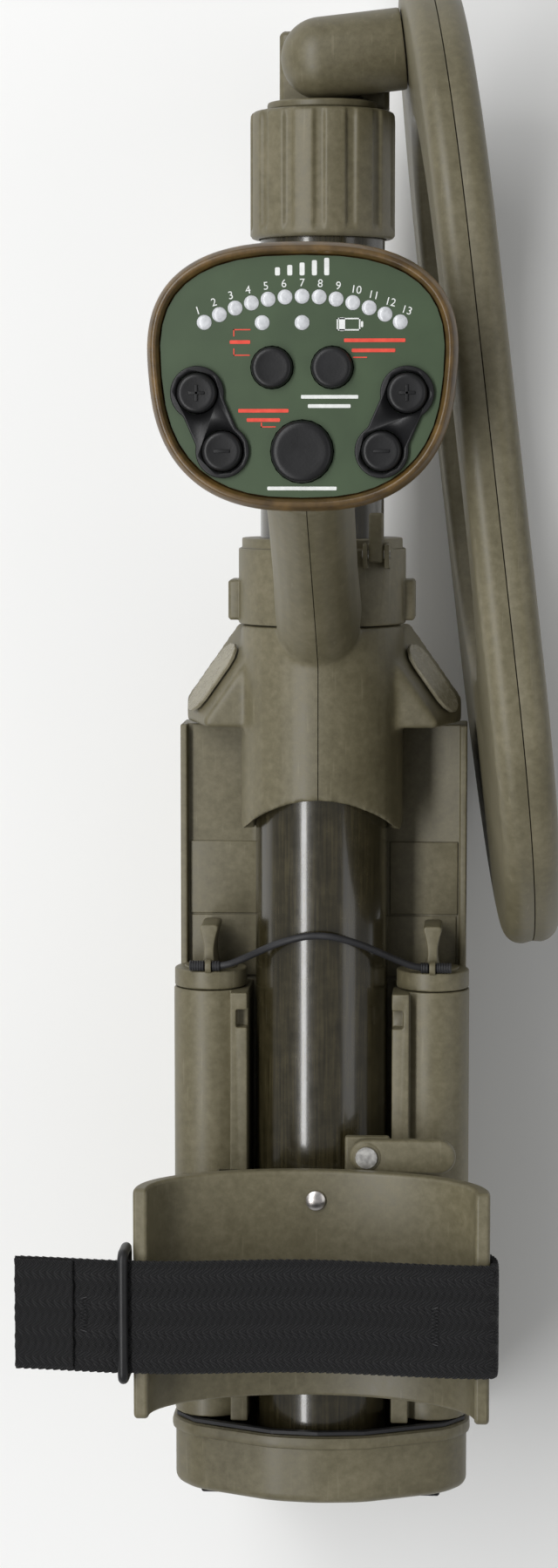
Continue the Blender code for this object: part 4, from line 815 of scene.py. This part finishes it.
def moulded_half(side, sign, voxel, passes):
    """One half of the handle: its inner corners filled, its outer ones softened, its seam kept flat."""
    bm = bmesh.new()
    bm.from_mesh(nodes[f"handle_{side}"].data)
    bmesh.ops.remove_doubles(bm, verts=bm.verts, dist=PACKED_WELD)
    bmesh.ops.translate(bm, vec=(-sign * SEAM_OVERLAP, 0, 0), verts=bm.verts)
    bmesh.ops.mirror(bm, geom=bm.verts[:] + bm.edges[:] + bm.faces[:], axis="X", merge_dist=0.0)
    bmesh.ops.recalc_face_normals(bm, faces=bm.faces)
    rough = finish_piece(bm, "rough_handle", olive_nylon, "housing")
    skin = rough.modifiers.new("skin", "REMESH")
    skin.mode = "VOXEL"
    skin.voxel_size = voxel
    mesh = baked(rough)
    bpy.data.objects.remove(rough, do_unlink=True)
    bm = bmesh.new()
    bm.from_mesh(mesh)
    bpy.data.meshes.remove(mesh)
    for _ in range(passes):
        bmesh.ops.smooth_vert(bm, verts=bm.verts, factor=0.5,
                              use_axis_x=True, use_axis_y=True, use_axis_z=True)
    cut = bmesh.ops.bisect_plane(bm, geom=bm.verts[:] + bm.edges[:] + bm.faces[:], dist=0.000001,
                                 plane_co=(sign * HANDLE_SEAM / 2, 0, 0), plane_no=(-sign, 0, 0),
                                 clear_outer=True)
    rim = [item for item in cut["geom_cut"] if isinstance(item, bmesh.types.BMEdge)]
    bmesh.ops.holes_fill(bm, edges=rim, sides=0)
    finish_piece(bm, f"handle_half_{side}", olive_nylon, "housing", [f"handle_{side}"], 60)


# The oval pads get a paler, glossier copy of the olive nylon: a painted highlight for the light that falls on
# their up-facing slopes.
pad_highlight_nylon = filled_nylon("painted_highlight_olive_nylon", "716b57", "827c68", "948e7a", 0.26)
for side, sign in BOTH_SIDES:
    moulded_half(side, sign, HANDLE_VOXEL, SMOOTH_PASSES)
    eased(f"{side}_shoulder_pad", f"oval_pad_{side}", pad_highlight_nylon, "housing", 0.0004)
eased("nose_clamp", "stem_nose_clamp", olive_nylon, "housing", 0.0005)
eased("stem_latch", "flip_latch", olive_nylon, "latch", 0.0004)

# ---------------------------------------------------------------- control pod
# The pod is a moulded bowl closed by an over-moulded brown bezel. A screen-printed overlay carries
# the lights and keys; the wording of its print is left plain, as bars where the words would be.

POD_Y = 0.2150
POD_HALF_WIDTH = 0.0403
POD_HALF_LENGTH = 0.0350
POD_TAPER = 2.2
POD_POWER = 2.6
POD_FLOOR = 0.0870
POD_RIM = 0.1017
POD_FACE = 0.1100
POD_TOP = 0.1120
POD_BOARD = 0.0983
BEZEL_WIDTH = 0.0033
BEZEL_LEDGE = 0.0040
POD_SIDES = 168
TANGENT_REACH = 0.004      # radians each side of a point, to find the outline's direction there


def pod_loop(bm, inwards, rise):
    """A loop of points round the pod, drawn in by inwards, at a height above the stem's axis."""
    def at(angle):
        c, s = math.cos(angle), math.sin(angle)
        y = POD_HALF_LENGTH * math.copysign(abs(s) ** (2 / POD_POWER), s)
        x = POD_HALF_WIDTH * (1 + POD_TAPER * y) * math.copysign(abs(c) ** (2 / POD_POWER), c)
        return Vector((x, y))

    loop = []
    for i in range(POD_SIDES):
        angle = math.tau * (i + 0.5) / POD_SIDES
        along = (at(angle + TANGENT_REACH) - at(angle - TANGENT_REACH)).normalized()
        point = at(angle) + Vector((-along.y, along.x)) * inwards
        loop.append(bm.verts.new((point.x, POD_Y + point.y, STEM_HEIGHT + rise)))
    return loop


bm = bmesh.new()
flank = [(0.0150, POD_FLOOR), (0.0120, POD_FLOOR + 0.0010), (0.0062, POD_FLOOR + 0.0062),
         (0.0030, POD_RIM - 0.0050), (0.0011, POD_RIM - 0.0010), (0.0009, POD_RIM)]
curved = smooth_route([(inwards, rise, 0) for inwards, rise in flank], 5)
inner = [(0.0042, POD_RIM), (0.0042, POD_BOARD - 0.0003)]
rings = [pod_loop(bm, point.x, point.y) for point in curved] + [pod_loop(bm, *pair) for pair in inner]
stack(bm, rings)
bm.faces.new(rings[0])
bm.faces.new(rings[-1])
bmesh.ops.recalc_face_normals(bm, faces=bm.faces)
finish_piece(bm, "moulded_pod_bowl", olive_nylon, "housing", ["pod_back"])

# The bezel is a soft brown elastomer moulded over the bowl's edge: it holds a warm line of light
# along its crown, and it is rubbed paler where it is handled.
brown_elastomer, tree, shader = surface("overmoulded_brown_elastomer", 0.34, Specular_IOR_Level=0.55)
where = positions(tree)
rubbed = noise(tree, where, 6, 6.0, Roughness=0.6)
shade(tree, shader, rubbed, (0.32, "3f2f18"), (0.5, "54401f"), (0.7, "6d5329"))
gloss(tree, shader, rubbed, 0.24, 0.46)
grain = noise(tree, where, 0.6, 2.0)
relief(tree, shader, grain, 0.25, 0.00004)

bm = bmesh.new()
ledge = POD_FACE - 0.0018
section = [(0.0006, POD_RIM + 0.0003), (0.0, POD_RIM + 0.0040), (0.0, POD_FACE - 0.0005),
           (0.0013, POD_TOP - 0.0001), (0.0024, POD_TOP), (BEZEL_WIDTH, POD_FACE + 0.0004),
           (BEZEL_WIDTH, ledge), (BEZEL_LEDGE, ledge), (BEZEL_LEDGE, POD_RIM + 0.0003)]
rings = [pod_loop(bm, point.x, point.y) for point in rounded(section, 0.0012, 4)]
band(bm, rings)
finish_piece(bm, "brown_pod_bezel", brown_elastomer, "housing", ["pod_bezel"], 60)

# The overlay is a polycarbonate film, printed green on its back: even colour under a fine matt
# texture, slightly darker where the print is thicker.
green_overlay, tree, shader = surface("printed_polycarbonate_overlay", 0.42, Specular_IOR_Level=0.5)
where = positions(tree)
ink = noise(tree, where, 14, 4.0)
shade(tree, shader, ink, (0.3, "35452e"), (0.7, "3d4e35"))
texture = noise(tree, where, 0.45, 2.0)
relief(tree, shader, texture, 0.2, 0.00003)
repaint("face_plate", green_overlay)


def enamel_ink(name, dark, light):
    """A thick screen-printed ink: opaque, slightly chalky, with a faint orange-peel face."""
    return clouded(name, 0.55, 1.5, 3.0, (0.3, dark), (0.7, light), 0.2, 0.00002)


white_ink = enamel_ink("white_screen_ink", "cfd2cf", "e2e4e1")
red_ink = enamel_ink("red_screen_ink", "cf3c2a", "e04a36")
PRINT_LOW = STEM_HEIGHT + POD_FACE + 0.00002
PRINT_HIGH = PRINT_LOW + 0.00008
LIGHT_ARC_RADIUS = 0.0520
LIGHT_ARC_TOP = 0.0208
LIGHT_COUNT = 13
LIGHT_STEP = math.radians(4.9)
LIGHT_RADIUS = 0.00175
STATUS_LIGHTS = ((-0.0104, 0.0140), (0.0, 0.0140))
NUMBER_SIZE = 0.0029
BAR_WIDTH = 0.00095
BRACKET_WIDTH = 0.0003


def stroke(bm, start, end, width):
    """A printed bar between two points of the overlay, with round corners."""
    a, b = Vector(start), Vector(end)
    along = (b - a).normalized() * (width / 2)
    side = Vector((-along.y, along.x))
    corners = [a - along - side, b + along - side, b + along + side, a - along + side]
    shifted = [(p.x, POD_Y + p.y) for p in corners]
    plate(bm, rounded(shifted, width * 0.3, 3), PRINT_LOW, PRINT_HIGH, 0)


def on_arc(index, radius):
    """Place and turn of a mark that belongs to one light of the bar."""
    angle = LIGHT_STEP * (index - (LIGHT_COUNT - 1) / 2)
    middle = LIGHT_ARC_TOP - LIGHT_ARC_RADIUS
    return Vector((radius * math.sin(angle), middle + radius * math.cos(angle))), -angle


# White print: the scale numbers, a plain five-bar mark, a battery sign and bars for the key names.
bm = bmesh.new()
for index in range(LIGHT_COUNT):
    spot, turn = on_arc(index, LIGHT_ARC_RADIUS + 0.0034)
    text = bpy.data.curves.new("number", "FONT")
    text.body = str(index + 1)
    text.size = NUMBER_SIZE
    text.align_x = "CENTER"
    text.align_y = "CENTER"
    text.extrude = 0.00004
    holder = linked("number", text)
    digits = baked(holder)
    bpy.data.objects.remove(holder, do_unlink=True)
    digits.transform(Matrix.Translation((spot.x, POD_Y + spot.y, PRINT_LOW + 0.00006))
                     @ Matrix.Rotation(turn * 0.6, 4, "Z"))
    bm.from_mesh(digits)
    bpy.data.meshes.remove(digits)
for step in range(5):
    x = -0.0064 + 0.0032 * step
    stroke(bm, (x, 0.0268), (x, 0.0276 + 0.0006 * step), 0.0013)
battery = (0.0092, 0.0121), (0.0150, 0.0121), (0.0150, 0.0150), (0.0092, 0.0150)
for start, end in zip(battery, battery[1:] + battery[:1]):
    stroke(bm, start, end, 0.00035)
stroke(bm, (0.0156, 0.0131), (0.0156, 0.0140), 0.0006)
stroke(bm, (0.0104, 0.0126), (0.0104, 0.0145), 0.0016)
for start, end in (((0.0002, -0.0052), (0.0142, -0.0052)), ((0.0020, -0.0076), (0.0122, -0.0076)),
                   ((-0.0086, -0.0290), (0.0086, -0.0290)), ((-0.0254, -0.0106), (-0.0206, -0.0090)),
                   ((0.0206, -0.0090), (0.0256, -0.0108))):
    stroke(bm, start, end, BAR_WIDTH)
finish_piece(bm, "overlay_white_print", white_ink, "housing")

# Red print: the second names of the keys, as bars, and the brackets that lead to them.
bm = bmesh.new()
for start, end in (((-0.0184, 0.0090), (-0.0140, 0.0090)), ((0.0114, 0.0094), (0.0264, 0.0094)),
                   ((0.0134, 0.0068), (0.0238, 0.0068)), ((-0.0162, -0.0088), (-0.0040, -0.0088)),
                   ((-0.0140, -0.0112), (-0.0062, -0.0112)), ((-0.0240, -0.0128), (-0.0200, -0.0114)),
                   ((0.0200, -0.0114), (0.0236, -0.0128))):
    stroke(bm, start, end, BAR_WIDTH)
for start, end in (((-0.0178, 0.0122), (-0.0136, 0.0122)), ((-0.0178, 0.0122), (-0.0178, 0.0106)),
                   ((-0.0178, 0.0056), (-0.0138, 0.0056)), ((-0.0178, 0.0056), (-0.0178, 0.0072)),
                   ((0.0134, 0.0050), (0.0168, 0.0050)), ((-0.0106, -0.0130), (-0.0070, -0.0130)),
                   ((-0.0106, -0.0130), (-0.0106, -0.0120))):
    stroke(bm, start, end, BRACKET_WIDTH)
finish_piece(bm, "overlay_red_print", red_ink, "housing")

# Each light shows through a small frosted lens, moulded as one clear guide behind the overlay.
frosted = clouded("frosted_acrylic_lens", 0.30, 1.2, 3.0, (0.3, "b4b6b9"), (0.7, "cfd1d4"),
                  0.15, 0.00003, Coat_Weight=0.3, Coat_Roughness=0.2)
repaint("light_guide", frosted)
bm = bmesh.new()
spots = [on_arc(index, LIGHT_ARC_RADIUS)[0] for index in range(LIGHT_COUNT)]
spots += [Vector(place) for place in STATUS_LIGHTS]
skirt, foot = LIGHT_RADIUS + 0.00018, POD_FACE + 0.00004
for spot in spots:
    dome = [(0, POD_FACE + 0.00060), (0.0010, POD_FACE + 0.00056),
            (LIGHT_RADIUS - 0.0002, POD_FACE + 0.00040), (skirt, POD_FACE + 0.00012),
            (skirt, foot), (0, foot)]
    turned(bm, dome, Matrix.Translation((spot.x, POD_Y + spot.y, STEM_HEIGHT)), 32)
finish_piece(bm, "light_lenses", frosted, "housing")

# ---------------------------------------------------------------- keys and buttons
# The keys are silicone rubber, moulded with raised signs and lacquered: near black, with a soft
# round highlight. Each pair of side keys sits in a waisted surround; the three others in the overlay.

silicone = soft_rubber("lacquered_silicone_key", "131314", "1b1b1d", 0.40, 0.7)
KEY_RADIUS = 0.00525
MODE_BUTTON_RADIUS = 0.0054
MAIN_BUTTON_RADIUS = 0.0081
SIGN_REACH = 0.0021
SIGN_WIDTH = 0.00076
SURROUND_RADIUS = 0.00707
SURROUND_TOP = POD_FACE + 0.0013
SURROUND_SWEEP = 250       # degrees of each rounded end that belong to the outline
CUTTER_DEPTH = 0.01
UPPER_KEY = (0.0274, -0.0042)
LOWER_KEY = (0.0208, -0.0193)


def button(node, name, radius, top, sign=""):
    """A domed key with a rolled edge, a soft rim and, on some, a raised sign."""
    low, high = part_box(node)
    centre = Vector(((low[0] + high[0]) / 2, (low[1] + high[1]) / 2, 0))
    flange = (high[0] - low[0]) / 2
    foot = low[2] - STEM_HEIGHT
    flange_top, flange_low = POD_FACE - 0.0018, POD_FACE - 0.0030
    profile = [(0, top - 0.0002), (radius * 0.55, top - 0.0001), (radius * 0.80, top),
               (radius * 0.93, top - 0.0003), (radius, top - 0.0013), (radius, flange_top),
               (flange, flange_top), (flange, flange_low), (radius * 0.6, flange_low),
               (radius * 0.6, foot), (0, foot)]
    bm = bmesh.new()
    place = Matrix.Translation((centre.x, centre.y, STEM_HEIGHT))
    turned(bm, rounded(profile, 0.0006, 4, closed=False), place, 72)
    reach, half = SIGN_REACH, SIGN_WIDTH / 2
    bars = {"": (), "minus": ((reach, half),), "plus": ((reach, half), (half, reach))}[sign]
    for wide, tall in bars:
        corners = [(centre.x - wide, centre.y - tall), (centre.x + wide, centre.y - tall),
                   (centre.x + wide, centre.y + tall), (centre.x - wide, centre.y + tall)]
        plate(bm, corners, STEM_HEIGHT + top - 0.0006, STEM_HEIGHT + top + 0.00022, 0.0001)
    finish_piece(bm, name, silicone, node, [node], 40)


BUTTON_TOP = POD_FACE + 0.0024
KEY_TOP = BUTTON_TOP + 0.0010
button("main_button", "round_main_button", MAIN_BUTTON_RADIUS, BUTTON_TOP)
for side, sign in BOTH_SIDES:
    button(f"{side}_mode_button", f"round_mode_button_{side}", MODE_BUTTON_RADIUS, BUTTON_TOP)
    for kind in ("plus", "minus"):
        button(f"{side}_{kind}_key", f"{kind}_key_cap_{side}", KEY_RADIUS, KEY_TOP, kind)
    upper = Vector((sign * UPPER_KEY[0], UPPER_KEY[1]))
    lower = Vector((sign * LOWER_KEY[0], LOWER_KEY[1]))
    line = []
    for end in (upper, lower):
        away = (end - (upper + lower) / 2).normalized()
        turn = math.atan2(away.y, away.x)
        for i in range(25):
            angle = turn + math.radians(SURROUND_SWEEP * (i / 24 - 0.5))
            line.append(end + Vector((math.cos(angle), math.sin(angle))) * SURROUND_RADIUS)
    bm = bmesh.new()
    line = [Vector((p.x, POD_Y + p.y)) for p in line]
    plate(bm, rounded(line, 0.0012, 4), STEM_HEIGHT + POD_FACE + 0.0003, STEM_HEIGHT + SURROUND_TOP, 0.0004)
    pad = finish_piece(bm, f"waisted_key_surround_{side}", silicone, "housing",
                       [f"{side}_key_surround"], 40)
    for end in (upper, lower):
        tool_bm = bmesh.new()
        opening = KEY_RADIUS + RUNNING_GAP
        bmesh.ops.create_cone(tool_bm, cap_ends=True, segments=72, radius1=opening, radius2=opening,
                              depth=CUTTER_DEPTH,
                              matrix=Matrix.Translation((end.x, POD_Y + end.y, STEM_HEIGHT + POD_FACE)))
        tool_mesh = bpy.data.meshes.new("cutter")
        tool_bm.to_mesh(tool_mesh)
        tool_bm.free()
        tool = linked("cutter", tool_mesh)
        cut = pad.modifiers.new("key_hole", "BOOLEAN")
        cut.operation = "DIFFERENCE"
        cut.solver = "EXACT"
        cut.object = tool
        holed = baked(pad)
        pad.modifiers.clear()
        pad.data = holed
        bpy.data.objects.remove(tool, do_unlink=True)
        bpy.data.meshes.remove(tool_mesh)

# ---------------------------------------------------------------- arm cuff and its carriage
# The forearm rests in a moulded trough. One rivet holds it to a carriage that slides on the rails,
# and a flat lever beside it turns to clamp the carriage.

CUFF_WALL = 0.0042
CUFF_DEPTH = 0.0270
CUFF_LIP = 0.0030
CUFF_SIDES = 72
CUFF_CORNER = 0.0020
CUFF_EASE = 0.0011

low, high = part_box("arm_cuff")
cuff_half = (high[0] - low[0]) / 2 - CUFF_WALL / 2
cuff_top = high[2]


def cuff_point(angle, grow=0.0):
    """A point (x, z) on the cuff's curve, moved outwards by grow; 0 degrees is the floor's middle."""
    turn = math.radians(angle)
    return ((cuff_half + grow) * math.sin(turn), cuff_top - CUFF_LIP - (CUFF_DEPTH + grow) * math.cos(turn))


def thicken(piece, name, thickness):
    """Gives a sheet its thickness, half to each side."""
    ply = piece.modifiers.new(name, "SOLIDIFY")
    ply.thickness = thickness
    ply.offset = 0
    return ply


line = [(-cuff_half, cuff_top - 0.0005)]
line += [cuff_point(-90 + 180 * i / CUFF_SIDES) for i in range(CUFF_SIDES + 1)]
line += [(cuff_half, cuff_top - 0.0005)]
bm = bmesh.new()
rear = [bm.verts.new((x, low[1], z)) for x, z in line]
edges = [bm.edges.new(pair) for pair in zip(rear, rear[1:])]
rows = bmesh.ops.extrude_edge_only(bm, edges=edges)["geom"]
bmesh.ops.translate(bm, vec=(0, high[1] - low[1], 0), verts=points_of(rows))
corners = [v for v in bm.verts if len(v.link_edges) == 2]
bmesh.ops.bevel(bm, geom=corners, offset=CUFF_CORNER, segments=6, profile=0.5, affect="VERTICES", material=-1)
bmesh.ops.recalc_face_normals(bm, faces=bm.faces)
cuff = finish_piece(bm, "moulded_arm_cuff", olive_nylon, "cuff", ["arm_cuff"], 45)
thicken(cuff, "wall", CUFF_WALL).use_even_offset = True
ease_edges(cuff, "eased_rim", 50, CUFF_EASE, 4)

low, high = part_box("cuff_rivet")
rivet_y = (low[1] + high[1]) / 2
bm = bmesh.new()
head = high[2]
rivet = [(0, head), (0.0012, head - 0.0001), (0.0022, head - 0.0004), (0.0028, head - 0.0008),
         (0.0029, head - 0.0012), (0.0015, head - 0.0012), (0.0015, low[2]), (0, low[2])]
turned(bm, rivet, Matrix.Translation((0, rivet_y, 0)), 64)
bright_rivet = plated_steel("polished_aluminium_rivet", "c3bfbb", "e4ddd9")
finish_piece(bm, "domed_cuff_rivet", bright_rivet, "cuff", ["cuff_rivet"])

eased("cuff_carriage", "sliding_cuff_carriage", olive_nylon, "cuff", 0.0007)

LEVER_RADIUS = 0.0050
LEVER_LENGTH = 0.0210
low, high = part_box("cuff_lever")
pivot_x, pivot_y = low[0] + LEVER_RADIUS, (low[1] + high[1]) / 2
bm = bmesh.new()
outline = []
for middle, first in ((LEVER_LENGTH, -90), (0.0, 90)):
    for i in range(17):
        turn = math.radians(first + 180 * i / 16)
        reach_x, reach_y = LEVER_RADIUS * math.cos(turn), LEVER_RADIUS * math.sin(turn)
        outline.append((pivot_x + middle + reach_x, pivot_y + reach_y))
plate(bm, outline, low[2], high[2], 0.0012)
boss = [(0.0024, high[2] + 0.0004), (0.0038, high[2] + 0.0004), (0.0043, high[2]), (0.0043, high[2] - 0.0010),
        (0.0024, high[2] - 0.0010)]
turned(bm, boss, Matrix.Translation((pivot_x, pivot_y, 0)), 64, ring=True)
finish_piece(bm, "clamp_lever", olive_nylon, "lever", ["cuff_lever"])

# ---------------------------------------------------------------- cuff strap
# The strap is 32 mm nylon webbing. It starts under the right wall, crosses the mouth of the cuff,
# passes through a wire ring and ends in a doubled tail, bar-tacked through both layers.

STRAP_THICKNESS = 0.0020
RIB_PITCH = 0.0021
RIB_HEIGHT = 0.00018
TWILL_WIDTH = 0.0041
STRAP_SLOPE = 0.010        # the strap climbs this much forward for each metre along it
low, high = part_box("cuff_strap")
strap_y = (low[1] + high[1]) / 2
strap_width = high[1] - low[1]
strap_z = high[2] - 0.0013
grow = CUFF_WALL / 2 + 0.0004 + STRAP_THICKNESS / 2
wrap = [cuff_point(angle, grow) for angle in (50, 62, 74, 84)]
path = [(x, z, 0) for x, z in wrap]
path += [(cuff_half + grow, cuff_top - 0.0012, 0), (cuff_half + grow - 0.0006, cuff_top + 0.0009, 0),
         (cuff_half - 0.0012, strap_z, 0), (0.0250, strap_z - 0.0007, 0), (0.0, strap_z - 0.0010, 0),
         (-0.0250, strap_z - 0.0007, 0), (-cuff_half, strap_z, 0), (-0.0600, strap_z + 0.0001, 0),
         (-0.0740, strap_z - 0.0004, 0), (low[0] + 0.0003, strap_z - 0.0009, 0)]
line = smooth_route(path, 24)
reach = [0.0]
for one, other in zip(line, line[1:]):
    reach.append(reach[-1] + (other - one).length)


def along_strap(distance):
    """Place and outward direction at a distance along the strap's middle line."""
    last = len(reach) - 1
    index = max(1, next((i for i, r in enumerate(reach) if r >= distance), last))
    share = (distance - reach[index - 1]) / (reach[index] - reach[index - 1])
    here = line[index - 1].lerp(line[index], share)
    along = (line[index] - line[index - 1]).normalized()
    return here, Vector((along.y, -along.x, 0))


def webbing_strip(bm, start, end, width, shift, lift):
    """A ribbed strip of webbing between two distances, moved across by shift and outwards by lift."""
    stations = round((end - start) / RIB_PITCH * 6)
    threads = 44
    made = bmesh.ops.create_grid(bm, x_segments=stations, y_segments=threads, size=0.5)["verts"]
    mapping = bm.loops.layers.uv.verify()
    places = {}
    for vert in made:
        distance = start + (vert.co.x + 0.5) * (end - start)
        across = vert.co.y * width
        places[vert] = (distance, across)
        here, outward = along_strap(distance)
        chevron = abs((across / TWILL_WIDTH) % 2 - 1) * RIB_PITCH
        rib = RIB_HEIGHT * math.sin(math.tau * (distance + chevron) / RIB_PITCH)
        selvedge = -0.00025 * (abs(across) * 2 / width) ** 14
        wander = 0.0006 * math.sin(distance * 31) + 0.0003 * math.sin(distance * 83 + 1.0)
        height = lift + rib + selvedge
        slope = STRAP_SLOPE * (distance - reach[-1] / 2)
        sideways = strap_y + shift + across + wander + slope
        vert.co = (here.x + outward.x * height, sideways, here.y + outward.y * height)
    for face in bm.faces:
        for loop in face.loops:
            loop[mapping].uv = places[loop.vert]


woven_nylon, tree, shader = surface("woven_nylon_webbing", 0.74, Specular_IOR_Level=0.3, Sheen_Weight=0.06)
thread = add(tree, "UVMap").outputs["UV"]
parts = add(tree, "SeparateXYZ", inputs={"Vector": thread})
YARN = 0.0007


def reckon(operation, *values):
    """One step of arithmetic in the weave."""
    return add(tree, "Math", {"operation": operation}, dict(enumerate(values))).outputs["Value"]


zigzag = reckon("PINGPONG", parts.outputs["Y"], TWILL_WIDTH / 2)
slant = reckon("ADD", parts.outputs["X"], zigzag)
turns = reckon("MULTIPLY", slant, math.tau / YARN)
yarn = reckon("SINE", turns)
fibre = noise(tree, thread, 0.5, 4.0)
both = add(tree, "Mix", inputs={"Factor": 0.5, "A": yarn, "B": fibre}).outputs["Result"]
shade(tree, shader, both, (0.0, "08080a"), (0.45, "101011"), (0.85, "262627"))
relief(tree, shader, both, 0.8, 0.0003)

bm = bmesh.new()
webbing_strip(bm, 0.0, reach[-1], strap_width - 0.0004, 0.0, 0.0)
strap = finish_piece(bm, "woven_cuff_strap", woven_nylon, "cuff", ["cuff_strap"], 80)
thicken(strap, "ply", STRAP_THICKNESS)

TAIL_FOLD = 0.0165
FOLD_THICKNESS = 0.0011
bm = bmesh.new()
webbing_strip(bm, reach[-1] - TAIL_FOLD, reach[-1], strap_width - 0.0016, 0.0003, STRAP_THICKNESS * 0.9)
fold = finish_piece(bm, "strap_tail_fold", woven_nylon, "cuff", (), 80)
thicken(fold, "ply", FOLD_THICKNESS)

# Bar tacks: close zigzags of bonded thread, sewn through both plies.
bonded_thread = clouded("bonded_nylon_thread", 0.45, 0.5, 2.0, (0.3, "161617"), (0.7, "2c2c2e"),
                        0.4, 0.00005)

STITCH_PITCH = 0.0005
STITCH_REACH = 0.0009
TACK_LIFT = STRAP_THICKNESS / 2 + 0.0002
THREAD_RADIUS = 0.00022


def bar_tack(name, distance, centre, length, lift):
    """A zigzag of thread across the strap at a distance along it."""
    stitches = round(length / STITCH_PITCH)
    places = []
    for i in range(stitches + 1):
        here, outward = along_strap(distance + (STITCH_REACH if i % 2 else -STITCH_REACH))
        across = centre + length * (i / stitches - 0.5)
        slope = STRAP_SLOPE * (distance - reach[-1] / 2)
        places.append((here.x + outward.x * lift, strap_y + across + slope, here.y + outward.y * lift))
    drawn_wire(name, places, THREAD_RADIUS, bonded_thread, "cuff", 2)


bar_tack("tail_bar_tack", reach[-1] - 0.0195, 0.0, 0.0100, TACK_LIFT)
bar_tack("anchor_bar_tack", reach[-1] - 0.1190, -0.0010, 0.0110, TACK_LIFT)

# The ring is steel wire dipped in black nylon, bent to a flat rectangle that the strap fills.
low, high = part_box("strap_ring")
wire = (high[0] - low[0]) / 2
corners = [(low[1] + wire, low[2] + wire), (high[1] - wire, low[2] + wire),
           (high[1] - wire, high[2] - wire), (low[1] + wire, high[2] - wire)]
turns = rounded(corners, 0.0024, 8)
dipped_wire = soft_rubber("nylon_dipped_wire", "1a1a1b", "262627", 0.4, 0.6)
places = [((low[0] + high[0]) / 2, turn.x, turn.y) for turn in turns]
ring = drawn_wire("dipped_strap_ring", places, wire, dipped_wire, "cuff", closed=True)
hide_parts("strap_ring")
